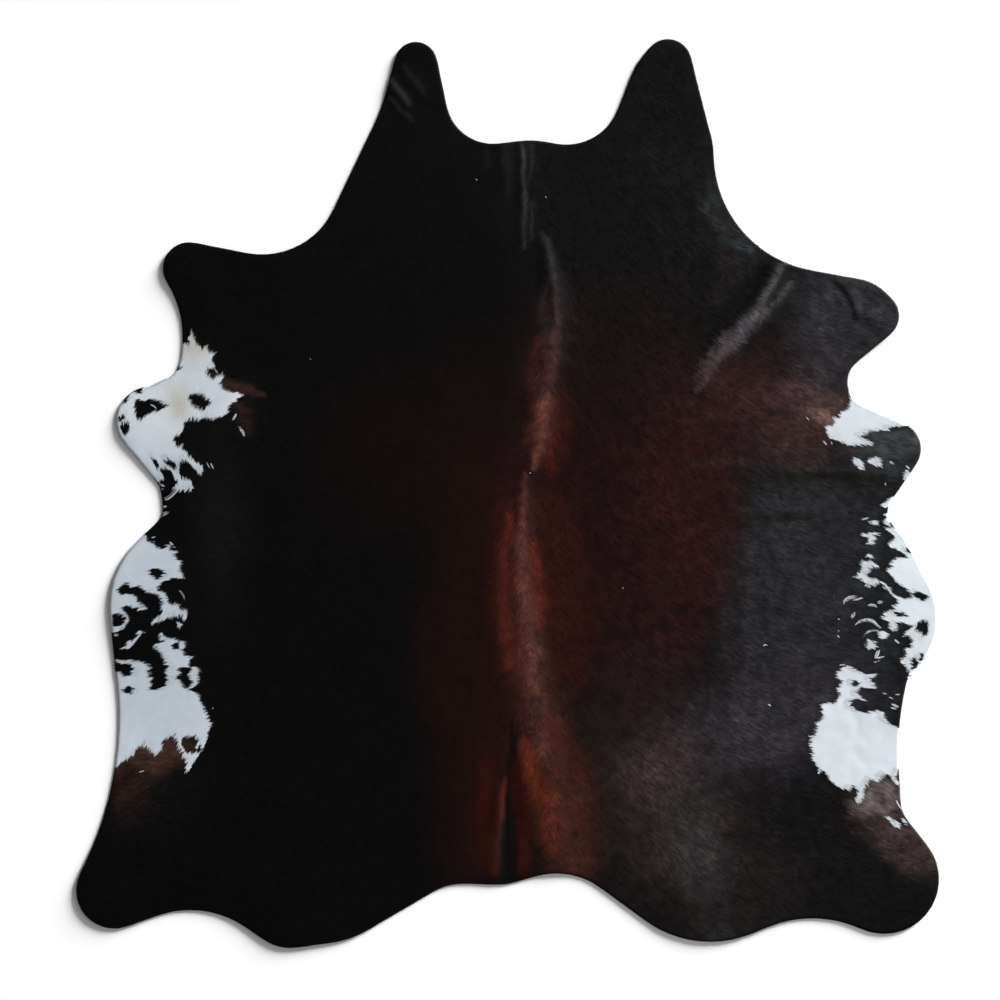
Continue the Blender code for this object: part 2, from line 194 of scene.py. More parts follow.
# The white patches: WHITE or DARK places, each laid over the ones before it
WHITE, DARK = 1, -1
Patch = namedtuple("Patch", "name colour points")
PATCHES = (
    Patch("belly left, upper", WHITE, (
        (-803, 365), (-784, 366), (-767, 367), (-774, 378), (-768, 386), (-764, 400), (-757, 386),
        (-752, 376), (-750, 366), (-738, 355), (-733, 362), (-726, 367), (-723, 357), (-720, 348),
        (-714, 349), (-704, 343), (-714, 334), (-710, 319), (-708, 309), (-712, 305), (-701, 292),
        (-694, 290), (-689, 296), (-684, 287), (-691, 276), (-689, 267), (-677, 254), (-663, 248),
        (-646, 246), (-634, 239), (-648, 230), (-655, 220), (-668, 214), (-670, 199), (-680, 191),
        (-709, 188), (-735, 190), (-745, 183), (-767, 188), (-774, 181), (-783, 176), (-783, 164),
        (-786, 151), (-801, 144), (-806, 134), (-803, 126), (-796, 121), (-791, 120), (-786, 124),
        (-784, 115), (-769, 97), (-752, 82), (-745, 78), (-738, 67), (-747, 52), (-769, 38),
        (-760, 13), (-786, 11), (-803, 11), (-847, 4), (-890, 33), (-958, 93), (-987, 178),
        (-963, 263), (-890, 299),
    )),
    Patch("belly left, middle", WHITE, (
        (-881, -93), (-873, -103), (-864, -110), (-859, -118), (-847, -122), (-840, -130),
        (-830, -133), (-820, -127), (-815, -121), (-808, -130), (-808, -137), (-796, -139),
        (-801, -149), (-796, -159), (-784, -161), (-784, -176), (-789, -185), (-781, -197),
        (-779, -205), (-796, -204), (-808, -204), (-818, -210), (-832, -211), (-837, -222),
        (-842, -231), (-827, -239), (-823, -248), (-818, -260), (-808, -265), (-801, -263),
        (-791, -270), (-784, -277), (-769, -277), (-772, -287), (-777, -302), (-786, -305),
        (-784, -292), (-791, -292), (-801, -290), (-810, -294), (-815, -299), (-820, -292),
        (-825, -302), (-832, -302), (-840, -305), (-842, -297), (-835, -287), (-832, -273),
        (-830, -260), (-837, -248), (-849, -240), (-866, -239), (-876, -229), (-886, -222),
        (-895, -224), (-910, -224), (-912, -214), (-924, -217), (-934, -227), (-939, -239),
        (-929, -244), (-915, -241), (-898, -246), (-888, -256), (-883, -265), (-873, -273),
        (-869, -277), (-878, -281), (-893, -277), (-903, -273), (-915, -270), (-924, -270),
        (-927, -277), (-922, -287), (-915, -297), (-915, -309), (-922, -321), (-934, -331),
        (-949, -336), (-992, -336), (-999, -210), (-939, -101),
    )),
    Patch("belly left, lower", WHITE, (
        (-987, -411), (-944, -401), (-927, -403), (-910, -401), (-886, -403), (-873, -408),
        (-864, -413), (-859, -423), (-866, -430), (-857, -437), (-866, -443), (-849, -447),
        (-859, -452), (-854, -459), (-861, -466), (-860, -474), (-849, -476), (-840, -474),
        (-827, -466), (-820, -454), (-818, -442), (-823, -430), (-815, -420), (-823, -408),
        (-827, -396), (-835, -384), (-840, -376), (-847, -368), (-852, -365), (-842, -360),
        (-827, -357), (-835, -348), (-840, -338), (-835, -336), (-825, -345), (-813, -348),
        (-798, -350), (-789, -355), (-772, -357), (-781, -362), (-772, -367), (-779, -373),
        (-784, -379), (-769, -384), (-777, -390), (-769, -394), (-752, -394), (-762, -401),
        (-764, -411), (-767, -420), (-750, -419), (-743, -423), (-740, -435), (-745, -445),
        (-743, -452), (-745, -462), (-762, -471), (-769, -475), (-757, -479), (-747, -481),
        (-740, -493), (-733, -508), (-728, -517), (-726, -529), (-721, -539), (-716, -549),
        (-711, -556), (-716, -566), (-721, -575), (-723, -588), (-728, -602), (-735, -617),
        (-743, -629), (-750, -638), (-757, -648), (-764, -660), (-772, -670), (-777, -675),
        (-774, -658), (-774, -646), (-779, -636), (-784, -629), (-784, -621), (-791, -617),
        (-796, -607), (-794, -600), (-796, -592), (-803, -588), (-801, -579), (-808, -583),
        (-815, -585), (-825, -590), (-835, -597), (-832, -605), (-837, -612), (-840, -621),
        (-847, -626), (-857, -629), (-861, -619), (-866, -612), (-876, -605), (-883, -605),
        (-890, -607), (-898, -617), (-903, -629), (-910, -631), (-920, -638), (-929, -643),
        (-936, -653), (-941, -658), (-987, -682),
    )),
    Patch("belly right, upper", WHITE, (
        (826, 228), (823, 216), (814, 206), (806, 200), (800, 189), (785, 188), (783, 182), (786, 174),
        (779, 168), (766, 166), (764, 162), (768, 149), (775, 139), (778, 132), (786, 133), (797, 130),
        (810, 123), (823, 116), (835, 118), (848, 119), (865, 120), (882, 120), (875, 126), (863, 132),
        (852, 138), (846, 141), (854, 143), (863, 149), (877, 154), (898, 155), (915, 157), (926, 163),
        (944, 163), (961, 165), (999, 166), (963, 251), (827, 263),
    )),
    Patch("belly right, middle", WHITE, (
        (915, -48), (906, -50), (916, -55), (911, -59), (903, -63), (908, -72), (915, -75), (923, -78),
        (906, -82), (915, -87), (923, -93), (929, -97), (937, -104), (929, -107), (924, -111),
        (920, -116), (913, -121), (923, -126), (932, -130), (942, -136), (952, -142), (957, -147),
        (963, -156), (955, -155), (947, -153), (937, -151), (929, -159), (923, -164), (921, -169),
        (925, -174), (918, -178), (911, -182), (918, -189), (923, -195), (931, -203), (937, -213),
        (947, -219), (957, -224), (968, -235), (975, -238), (971, -248), (953, -251), (941, -247),
        (932, -240), (923, -235), (918, -222), (907, -218), (928, -246), (936, -251), (941, -258),
        (939, -265), (928, -272), (936, -280), (911, -282), (904, -288), (909, -294), (897, -302),
        (907, -304), (916, -308), (918, -319), (921, -326), (934, -333), (934, -313), (937, -310),
        (950, -310), (960, -315), (969, -318), (971, -328), (958, -331), (955, -350), (962, -342),
        (973, -354), (978, -361), (968, -365), (975, -371), (962, -373), (957, -376), (959, -386),
        (952, -399), (948, -400), (950, -409), (957, -418), (964, -425), (970, -452), (1012, -452),
        (1072, -355), (1072, -210), (999, -64), (956, -42),
    )),
    Patch("thigh right", WHITE, (
        (800, -424), (813, -419), (824, -417), (829, -423), (839, -427), (854, -432), (863, -436),
        (872, -438), (889, -436), (878, -443), (870, -448), (874, -454), (881, -460), (880, -465),
        (891, -471), (876, -471), (863, -470), (854, -467), (845, -471), (839, -478), (842, -485),
        (852, -493), (867, -504), (856, -501), (846, -496), (831, -498), (824, -502), (824, -509),
        (829, -519), (841, -526), (856, -528), (867, -531), (872, -526), (889, -523), (902, -528),
        (904, -537), (909, -545), (919, -554), (932, -562), (946, -568), (987, -573), (987, -658),
        (943, -666), (937, -680), (935, -686), (945, -698), (943, -706), (933, -698), (923, -688),
        (921, -680), (911, -676), (902, -680), (898, -690), (890, -696), (886, -692), (876, -687),
        (867, -696), (866, -704), (860, -705), (856, -716), (858, -729), (850, -737), (848, -751),
        (841, -745), (838, -734), (846, -732), (844, -718), (834, -705), (826, -713), (806, -714),
        (789, -704), (779, -696), (773, -692), (767, -678), (758, -668), (754, -682), (745, -662),
        (735, -648), (730, -642), (732, -628), (728, -607), (730, -591), (727, -586), (739, -585),
        (739, -573), (746, -563), (739, -558), (751, -546), (761, -535), (751, -528), (759, -520),
        (754, -510), (770, -506), (789, -507), (796, -494), (800, -481), (790, -472), (802, -463),
        (803, -454), (793, -444), (790, -435),
    )),
    Patch("left upper, fleck", DARK, (
        (-726, 308), (-711, 308), (-709, 302), (-704, 290), (-712, 282), (-720, 291), (-726, 299),
    )),
    Patch("left upper, rim wedge", DARK, ((-808, 309), (-796, 309), (-786, 307), (-794, 299), (-806, 297))),
    Patch("left upper, rim, second", DARK, (
        (-878, 263), (-881, 252), (-886, 241), (-893, 245), (-903, 246), (-912, 240), (-915, 229),
        (-923, 219), (-932, 222), (-922, 244), (-907, 256), (-890, 265),
    )),
    Patch("left upper, rim, third", DARK, (
        (-929, 197), (-924, 189), (-929, 179), (-939, 176), (-941, 188),
    )),
    Patch("left upper, rim, fourth", DARK, (
        (-929, 177), (-920, 179), (-915, 173), (-918, 161), (-922, 151), (-933, 151), (-938, 161),
        (-936, 173),
    )),
    Patch("left upper, long spot", DARK, (
        (-897, 224), (-893, 230), (-886, 229), (-871, 227), (-861, 231), (-849, 230), (-837, 229),
        (-830, 222), (-818, 214), (-827, 210), (-842, 202), (-852, 204), (-861, 200), (-873, 193),
        (-888, 185), (-897, 188), (-898, 207),
    )),
    Patch("left upper, round spot", DARK, (
        (-769, 239), (-762, 244), (-750, 247), (-735, 246), (-726, 236), (-716, 227), (-718, 219),
        (-726, 217), (-735, 207), (-745, 212), (-757, 217), (-764, 227),
    )),
    Patch("left notch, first", DARK, (
        (-864, 88), (-859, 90), (-854, 86), (-849, 79), (-844, 71), (-842, 62), (-847, 65), (-852, 67),
        (-857, 74),
    )),
    Patch("left notch, second", DARK, (
        (-835, 86), (-825, 87), (-815, 85), (-808, 79), (-803, 70), (-806, 65), (-815, 68), (-825, 73),
        (-830, 79),
    )),
    Patch("left notch, third", DARK, (
        (-798, 81), (-791, 86), (-784, 86), (-774, 81), (-764, 71), (-760, 64), (-755, 57), (-745, 52),
        (-755, 42), (-769, 38), (-774, 42), (-784, 42), (-794, 47), (-798, 55), (-798, 71),
    )),
    Patch("left notch, fourth", DARK, (
        (-840, 64), (-842, 55), (-834, 44), (-842, 36), (-846, 29), (-861, 41), (-866, 35),
        (-842, -16), (-825, -11), (-813, 0), (-803, 7), (-801, 12), (-804, 18), (-801, 27), (-797, 33),
        (-806, 38), (-810, 46), (-815, 57), (-825, 65), (-832, 68),
    )),
    Patch("left middle, rim spot", DARK, (
        (-951, -290), (-941, -288), (-929, -291), (-922, -297), (-920, -307), (-924, -311),
        (-929, -316), (-939, -320), (-949, -320), (-953, -311), (-951, -299),
    )),
    Patch("left middle, centre", DARK, (
        (-864, -188), (-857, -182), (-842, -181), (-827, -185), (-823, -193), (-832, -197),
        (-835, -205), (-844, -207), (-854, -200),
    )),
    Patch("left middle, tuft", WHITE, (
        (-859, -309), (-852, -302), (-844, -292), (-842, -299), (-847, -307), (-852, -313),
    )),
    Patch("left middle, second tuft", WHITE, (
        (-803, -310), (-794, -311), (-786, -316), (-789, -321), (-798, -317),
    )),
    Patch("left middle, curl", WHITE, (
        (-895, -332), (-883, -331), (-876, -336), (-886, -340), (-895, -353), (-900, -357),
        (-903, -367), (-915, -374), (-932, -374), (-917, -365), (-915, -356), (-900, -350),
        (-888, -339),
    )),
    Patch("left lower, inner spot", DARK, (
        (-794, -426), (-781, -420), (-767, -420), (-757, -423), (-760, -430), (-764, -440),
        (-760, -452), (-755, -459), (-762, -466), (-769, -472), (-779, -470), (-781, -459),
        (-789, -452), (-798, -446), (-789, -440), (-786, -430),
    )),
    Patch("left lower, rim spot", DARK, (
        (-958, -403), (-944, -406), (-929, -412), (-915, -411), (-903, -414), (-900, -425),
        (-905, -437), (-915, -441), (-927, -437), (-936, -431), (-949, -431), (-958, -423),
    )),
    Patch("left lower, small spot", DARK, (
        (-920, -466), (-907, -465), (-900, -474), (-905, -483), (-912, -486), (-920, -481),
        (-929, -477), (-920, -474),
    )),
    Patch("left lower, brown spot", DARK, (
        (-786, -590), (-779, -585), (-769, -583), (-757, -583), (-747, -588), (-745, -595),
        (-750, -605), (-752, -612), (-750, -621), (-769, -624), (-779, -621), (-786, -612),
        (-789, -600),
    )),
    Patch("left lower, brown spot's end", DARK, ((-743, -602), (-738, -614), (-740, -621), (-750, -624))),
    Patch("pair right, first", WHITE, (
        (833, 91), (842, 87), (854, 83), (853, 76), (856, 68), (858, 60), (848, 63), (835, 72),
        (831, 80),
    )),
    Patch("pair right, second", WHITE, (
        (863, 82), (873, 87), (883, 92), (892, 90), (899, 83), (899, 75), (904, 67), (890, 69),
        (877, 73), (871, 78),
    )),
    Patch("right rim, upper tuft", WHITE, (
        (960, 58), (955, 51), (955, 40), (958, 32), (968, 40), (972, 51),
    )),
    Patch("right rim, tuft", WHITE, (
        (936, -6), (920, -10), (912, -16), (903, -22), (898, -30), (907, -30), (915, -34), (936, -28),
    )),
    Patch("right middle, first spot", DARK, (
        (924, -65), (929, -67), (934, -75), (941, -81), (944, -87), (937, -84), (929, -81), (923, -79),
        (921, -72),
    )),
    Patch("right middle, second spot", DARK, (
        (960, -134), (965, -130), (969, -134), (973, -143), (966, -142), (961, -138),
    )),
    Patch("right middle, streak", DARK, (
        (975, -238), (991, -236), (1001, -240), (1016, -251), (1005, -257), (992, -254), (982, -248),
        (975, -241),
    )),
    Patch("right middle, second streak", DARK, (
        (925, -280), (934, -285), (946, -285), (953, -283), (959, -290), (964, -295), (950, -296),
        (943, -298), (934, -290),
    )),
    Patch("right middle, large spot", DARK, (
        (984, -326), (991, -320), (992, -310), (998, -317), (1005, -308), (1014, -317), (1017, -328),
        (1014, -345), (1005, -351), (998, -345), (985, -340), (982, -335),
    )),
    Patch("right, in the dark, bit", WHITE, (
        (868, -67), (878, -65), (887, -64), (893, -71), (890, -76), (881, -73),
    )),
    Patch("right, in the dark, upper", WHITE, (
        (850, -100), (861, -95), (874, -93), (889, -93), (897, -99), (882, -96), (881, -101),
        (886, -106), (878, -112), (882, -115), (874, -122), (865, -124), (868, -118), (873, -111),
        (868, -105), (858, -103),
    )),
    Patch("right, in the dark, grey bit", WHITE, (
        (865, -147), (873, -145), (881, -149), (874, -153), (865, -155),
    )),
    Patch("right, in the dark, large", WHITE, (
        (855, -161), (866, -159), (878, -160), (887, -168), (902, -179), (890, -173), (882, -174),
        (874, -177), (873, -182), (865, -187), (865, -193), (871, -200), (882, -202), (894, -207),
        (905, -213), (918, -221), (908, -218), (895, -213), (886, -216), (878, -220), (868, -216),
        (857, -210), (847, -203), (835, -202), (842, -195), (849, -185), (853, -177), (847, -169),
    )),
    Patch("whorl, wedge", WHITE, ((886, -331), (909, -333), (916, -342), (904, -352), (893, -342))),
    Patch("whorl, inside", WHITE, (
        (865, -356), (872, -351), (879, -356), (886, -355), (892, -362), (884, -374), (873, -377),
        (863, -372),
    )),
    Patch("thigh right, spot", DARK, ((828, -452), (837, -452), (850, -459), (837, -466), (828, -463))),
    Patch("hind leg right, slit", WHITE, (
        (905, -779), (923, -780), (929, -787), (943, -793), (945, -799), (941, -809), (929, -801),
        (923, -793), (913, -785),
    )),
    Patch("hind leg right, second slit", WHITE, ((949, -787), (957, -785), (963, -795), (957, -796))),
)
Spot = namedtuple("Spot", "name colour x y half_length half_width turn")
SPOTS = (
    Spot("left upper, rim dot", DARK, -818, 282, 3.6, 3.6, 0),
    Spot("left middle, rim dot", DARK, -886, -99, 4.1, 3.6, 0),
    Spot("left lower, round spot", DARK, -797, -368, 8.7, 8.2, 0),
    Spot("right middle, third spot", DARK, 980, -411, 14.1, 10.2, -90),
    Spot("right middle, fourth spot", DARK, 999, -396, 9.7, 6.1, -90),
    Spot("whorl, eye", DARK, 886, -363, 5.3, 4.1, -60),
)
# Wisps: a few hairs of one colour over the other, along a short line. Most are white in the dark.
Wisp = namedtuple("Wisp", "name half_width points colour", defaults=(WHITE,))
WISPS = (
    Wisp("left upper, beside the fleck", 1.7, ((-712, 305), (-699, 288))),
    Wisp("left upper, along the rim", 2.9, ((-866, 260), (-849, 267), (-835, 273), (-823, 279)), DARK),
    Wisp("left upper, in the long spot", 2.2, ((-866, 216), (-857, 213), (-850, 207), (-849, 201))),
    Wisp("under left upper, first", 2.4, ((-655, 194), (-665, 178))),
    Wisp("under left upper, second", 3.9, ((-651, 163), (-641, 151), (-635, 137))),
    Wisp("left notch, above", 1.7, ((-729, 77), (-720, 61))),
    Wisp("left notch, above, second", 1.7, ((-719, 75), (-712, 60))),
    Wisp("left notch, low", 3.1, ((-849, 22), (-830, 17))),
    Wisp("left notch, lower", 1.5, ((-840, 10), (-832, 11))),
    Wisp("left notch, long", 4.4, ((-835, -16), (-823, -12), (-813, -4), (-803, 6), (-794, 10))),
    Wisp("left notch, small", 2.4, ((-835, -34), (-825, -30))),
    Wisp("left notch, last", 4.1, ((-842, -59), (-835, -51), (-820, -45))),
    Wisp("left middle, top", 1.9, ((-866, -108), (-852, -105))),
    Wisp("left middle, top, second", 1.7, ((-861, -116), (-852, -115))),
    Wisp("left middle, top, third", 2.4, ((-820, -115), (-808, -126))),
    Wisp("left middle, top, fourth", 1.9, ((-818, -127), (-803, -131))),
    Wisp("left middle, right", 1.7, ((-798, -231), (-791, -239), (-786, -246), (-781, -258))),
    Wisp("left middle, low", 2.9, ((-953, -343), (-941, -342))),
    Wisp("left lower, in the brown", 2.4, ((-895, -675), (-881, -671))),
    Wisp("right upper, left", 2.2, ((764, 128), (774, 118))),
    Wisp("right upper, left, second", 1.5, ((783, 125), (786, 118))),
    Wisp("right upper, far left", 1.5, ((722, 187), (731, 177))),
    Wisp("right of the pair", 2.4, ((923, 79), (936, 70))),
    Wisp("right, below the pair", 1.7, ((914, 26), (915, 19))),
    Wisp("right rim, upper", 2.9, ((963, 68), (974, 58))),
    Wisp("right, in the dark, top", 1.9, ((857, -63), (874, -59))),
    Wisp("right, in the dark, first", 3.6, ((863, -221), (879, -227))),
    Wisp("right, in the dark, second", 3.6, ((907, -222), (918, -231))),
    Wisp("right, in the dark, third", 1.9, ((911, -218), (916, -227), (920, -236))),
    Wisp("right, crescent", 3.9, ((813, -270), (818, -258), (830, -251), (847, -250))),
    Wisp("right, crescent, second", 3.4, ((834, -259), (863, -251))),
    Wisp("right, under it", 3.6, ((871, -269), (886, -269), (895, -275))),
    Wisp("right, beside it", 3.4, ((893, -264), (909, -262))),
    Wisp("right, lower left", 3.9, ((832, -301), (841, -288))),
    Wisp("right, long arc", 3.9, (
        (842, -318), (854, -309), (870, -306), (882, -308), (893, -317), (904, -326),
    )),
    Wisp("whorl, arc", 2.4, (
        (859, -354), (865, -342), (873, -334), (886, -332), (900, -333), (914, -342),
    )),
    Wisp("whorl, below", 4.8, ((900, -377), (893, -391), (890, -399))),
    Wisp("whorl, below, second", 2.9, ((891, -398), (913, -395))),
    Wisp("whorl, below, third", 1.7, ((886, -409), (900, -404))),
    Wisp("right middle, low", 2.9, ((936, -353), (948, -363))),
    Wisp("right, speck", 1.7, ((800, -303), (804, -304))),
    Wisp("right, second speck", 1.7, ((800, -332), (804, -333))),
    Wisp("right, third speck", 1.7, ((799, -342), (804, -349))),
    Wisp("thigh right, top", 1.7, ((802, -415), (822, -414))),
    Wisp("thigh right, beside", 3.4, ((930, -509), (948, -518))),
    Wisp("thigh right, beside, second", 2.2, ((928, -518), (941, -522))),
    Wisp("thigh right, beside, third", 1.7, ((906, -483), (919, -486))),
    Wisp("thigh right, beside, fourth", 1.7, ((939, -487), (951, -486))),
    Wisp("thigh right, beside, fifth", 1.7, ((922, -493), (934, -498))),
    Wisp("hind leg right, small", 1.7, ((961, -801), (969, -803))),
    Wisp("hind leg right, third slit", 3.1, ((941, -741), (955, -765))),
    Wisp("speck, left", 1.2, ((-480, 327), (-476, 325))),
    Wisp("speck, neck", 1.2, ((-78, 761), (-74, 758))),
    Wisp("speck, neck right", 1.2, ((92, 720), (94, 716))),
    Wisp("speck, left low", 1.2, ((-715, -519), (-711, -521))),
    Wisp("speck, red", 1.2, ((277, -229), (281, -230))),
    Wisp("arc, flank", 1.2, ((619, -370), (624, -366), (630, -368))),
    Wisp("arc, flank, second", 1.2, ((631, -510), (638, -514))),
    Wisp("speck, cowlick", 1.2, ((52, 51), (57, 48))),
)

# The hair's colours, as bytes of red, green and blue in a picture, with painted light among them:
# painted sheen on the right half and along the crest, painted highlights on ridges and painted shade
# in creases, as marked at the rows. Tints are soft places, each laid over the last, and bands follow
# a few points, each with the band's half width there. The bands' colours were read with the hair's
# gloss over them, which the lights add by themselves.
HAIR_GLOSS = 0.0019  # as an amount of light from 0 to 1
DARKEST = 0.0008  # the least that is left without it
BLACK = (5, 5, 5)
Tint = namedtuple("Tint", "name x y half_width half_length turn colour strength edge")
TINTS_AND_SHEEN = (
    Tint("neck", 60, 930, 430, 300, 0, (9, 9, 9), 0.9, 1),
    Tint("neck, right", 430, 720, 160, 260, 0, (12, 12, 12), 0.9, 1),
    # Painted sheen: grey along the right shoulder's edge
    Tint("shoulder edge, right", 560, 640, 60, 120, 35, (30, 31, 31), 0.8, 1),
    Tint("left of the back, upper", -160, 110, 300, 220, 0, (15, 7, 5), 0.9, 1.5),
    Tint("left of the back", -85, -420, 118, 620, 0, (22, 9, 6), 0.95, 2),
    Tint("red, right of the back", 260, -60, 250, 470, 0, (26, 8, 7), 1.0, 2),
    Tint("red, under the neck", 250, 330, 210, 180, 0, (17, 9, 6), 0.8, 1),
    Tint("red, far right", 440, -60, 122, 320, 0, (38, 12, 11), 0.9, 2),
    # Painted sheen: grey over the black hair of the right flank, where the hair catches the light
    Tint("right flank", 740, -230, 218, 330, 0, (36, 35, 37), 1.0, 2.5),
    Tint("flank right, outer", 905, -250, 84, 330, 0, (26, 28, 30), 0.9, 1.5),
    Tint("behind the shoulder", 590, 230, 190, 100, -6, (44, 23, 21), 0.95, 1.3),
    Tint("behind the shoulder, pale", 690, 240, 70, 46, 20, (62, 42, 43), 0.8, 1),
    Tint("behind the elbow", 690, 124, 120, 52, -4, (54, 36, 34), 0.85, 1.2),
    Tint("under the shoulder fold", 680, 370, 64, 90, -30, (26, 15, 14), 0.95, 1.3),
    # Painted sheen: grey on the black hair of the right elbow and front leg
    Tint("elbow right", 930, 112, 90, 56, 0, (57, 60, 62), 0.9, 1.3),
    Tint("front leg right", 850, 450, 150, 110, 0, (46, 47, 50), 1.0, 1.5),
    Tint("front leg right, lower", 775, 330, 70, 100, -12, (46, 44, 47), 0.95, 1.2),
    # Painted sheen: grey and mauve grey right of the tail
    Tint("right of the tail", 420, -760, 190, 250, 20, (42, 34, 33), 0.9, 1),
    Tint("right of the tail, mauve", 385, -660, 90, 70, 20, (56, 42, 42), 0.8, 1),
    Tint("right of the tail, grey", 478, -890, 56, 165, 12, (50, 48, 48), 0.8, 1.2),
    Tint("under the red", 330, -470, 150, 90, 0, (32, 18, 17), 0.7, 1),
    # Painted sheen: violet grey on the lower right flank
    Tint("flank right, lower", 640, -560, 190, 115, 12, (50, 47, 53), 0.85, 1.2),
    Tint("hind leg right, dark", 780, -820, 200, 140, -20, (9, 10, 12), 1.0, 1.5),
    Tint("rump right", 610, -960, 150, 110, 0, (22, 19, 18), 0.85, 1),
    Tint("back, middle", 32, -220, 66, 290, 0, (44, 16, 12), 0.9, 1.5),
    Tint("back, upper", 76, 180, 40, 200, 4, (30, 15, 12), 0.8, 1.5),
    Tint("back, lower", 70, -560, 80, 220, 6, (36, 18, 15), 0.8, 1.5),
    Tint("tail", 130, -800, 76, 130, 0, (42, 24, 20), 0.9, 1.5),
    Tint("tail, left", -40, -760, 56, 190, 0, (30, 12, 10), 0.85, 1.5),
    Tint("under the left lower patch", -885, -645, 105, 45, 20, (64, 43, 36), 0.95, 2),
    Tint("hind leg left, brown", -920, -712, 66, 82, -14, (30, 19, 15), 0.95, 1.4),
    Tint("belly left, grey", -690, -60, 55, 240, 0, (15, 15, 15), 0.8, 1),
    Tint("knee right, brown", 960, -830, 130, 76, -40, (60, 48, 46), 0.95, 2),
    Tint("knee right, dark brown", 832, -757, 76, 60, -50, (13, 8, 7), 1.0, 1.5),
    Tint("knee right, pale", 922, -735, 58, 44, 0, (100, 90, 88), 0.9, 1.5),
    Tint("elbow right, brown", 760, 196, 74, 44, 20, (74, 56, 53), 0.9, 1.2),
    Tint("elbow right, pale", 746, 168, 27, 15, -38, (146, 112, 106), 0.9, 1),
)
Band = namedtuple("Band", "name colour strength edge points")
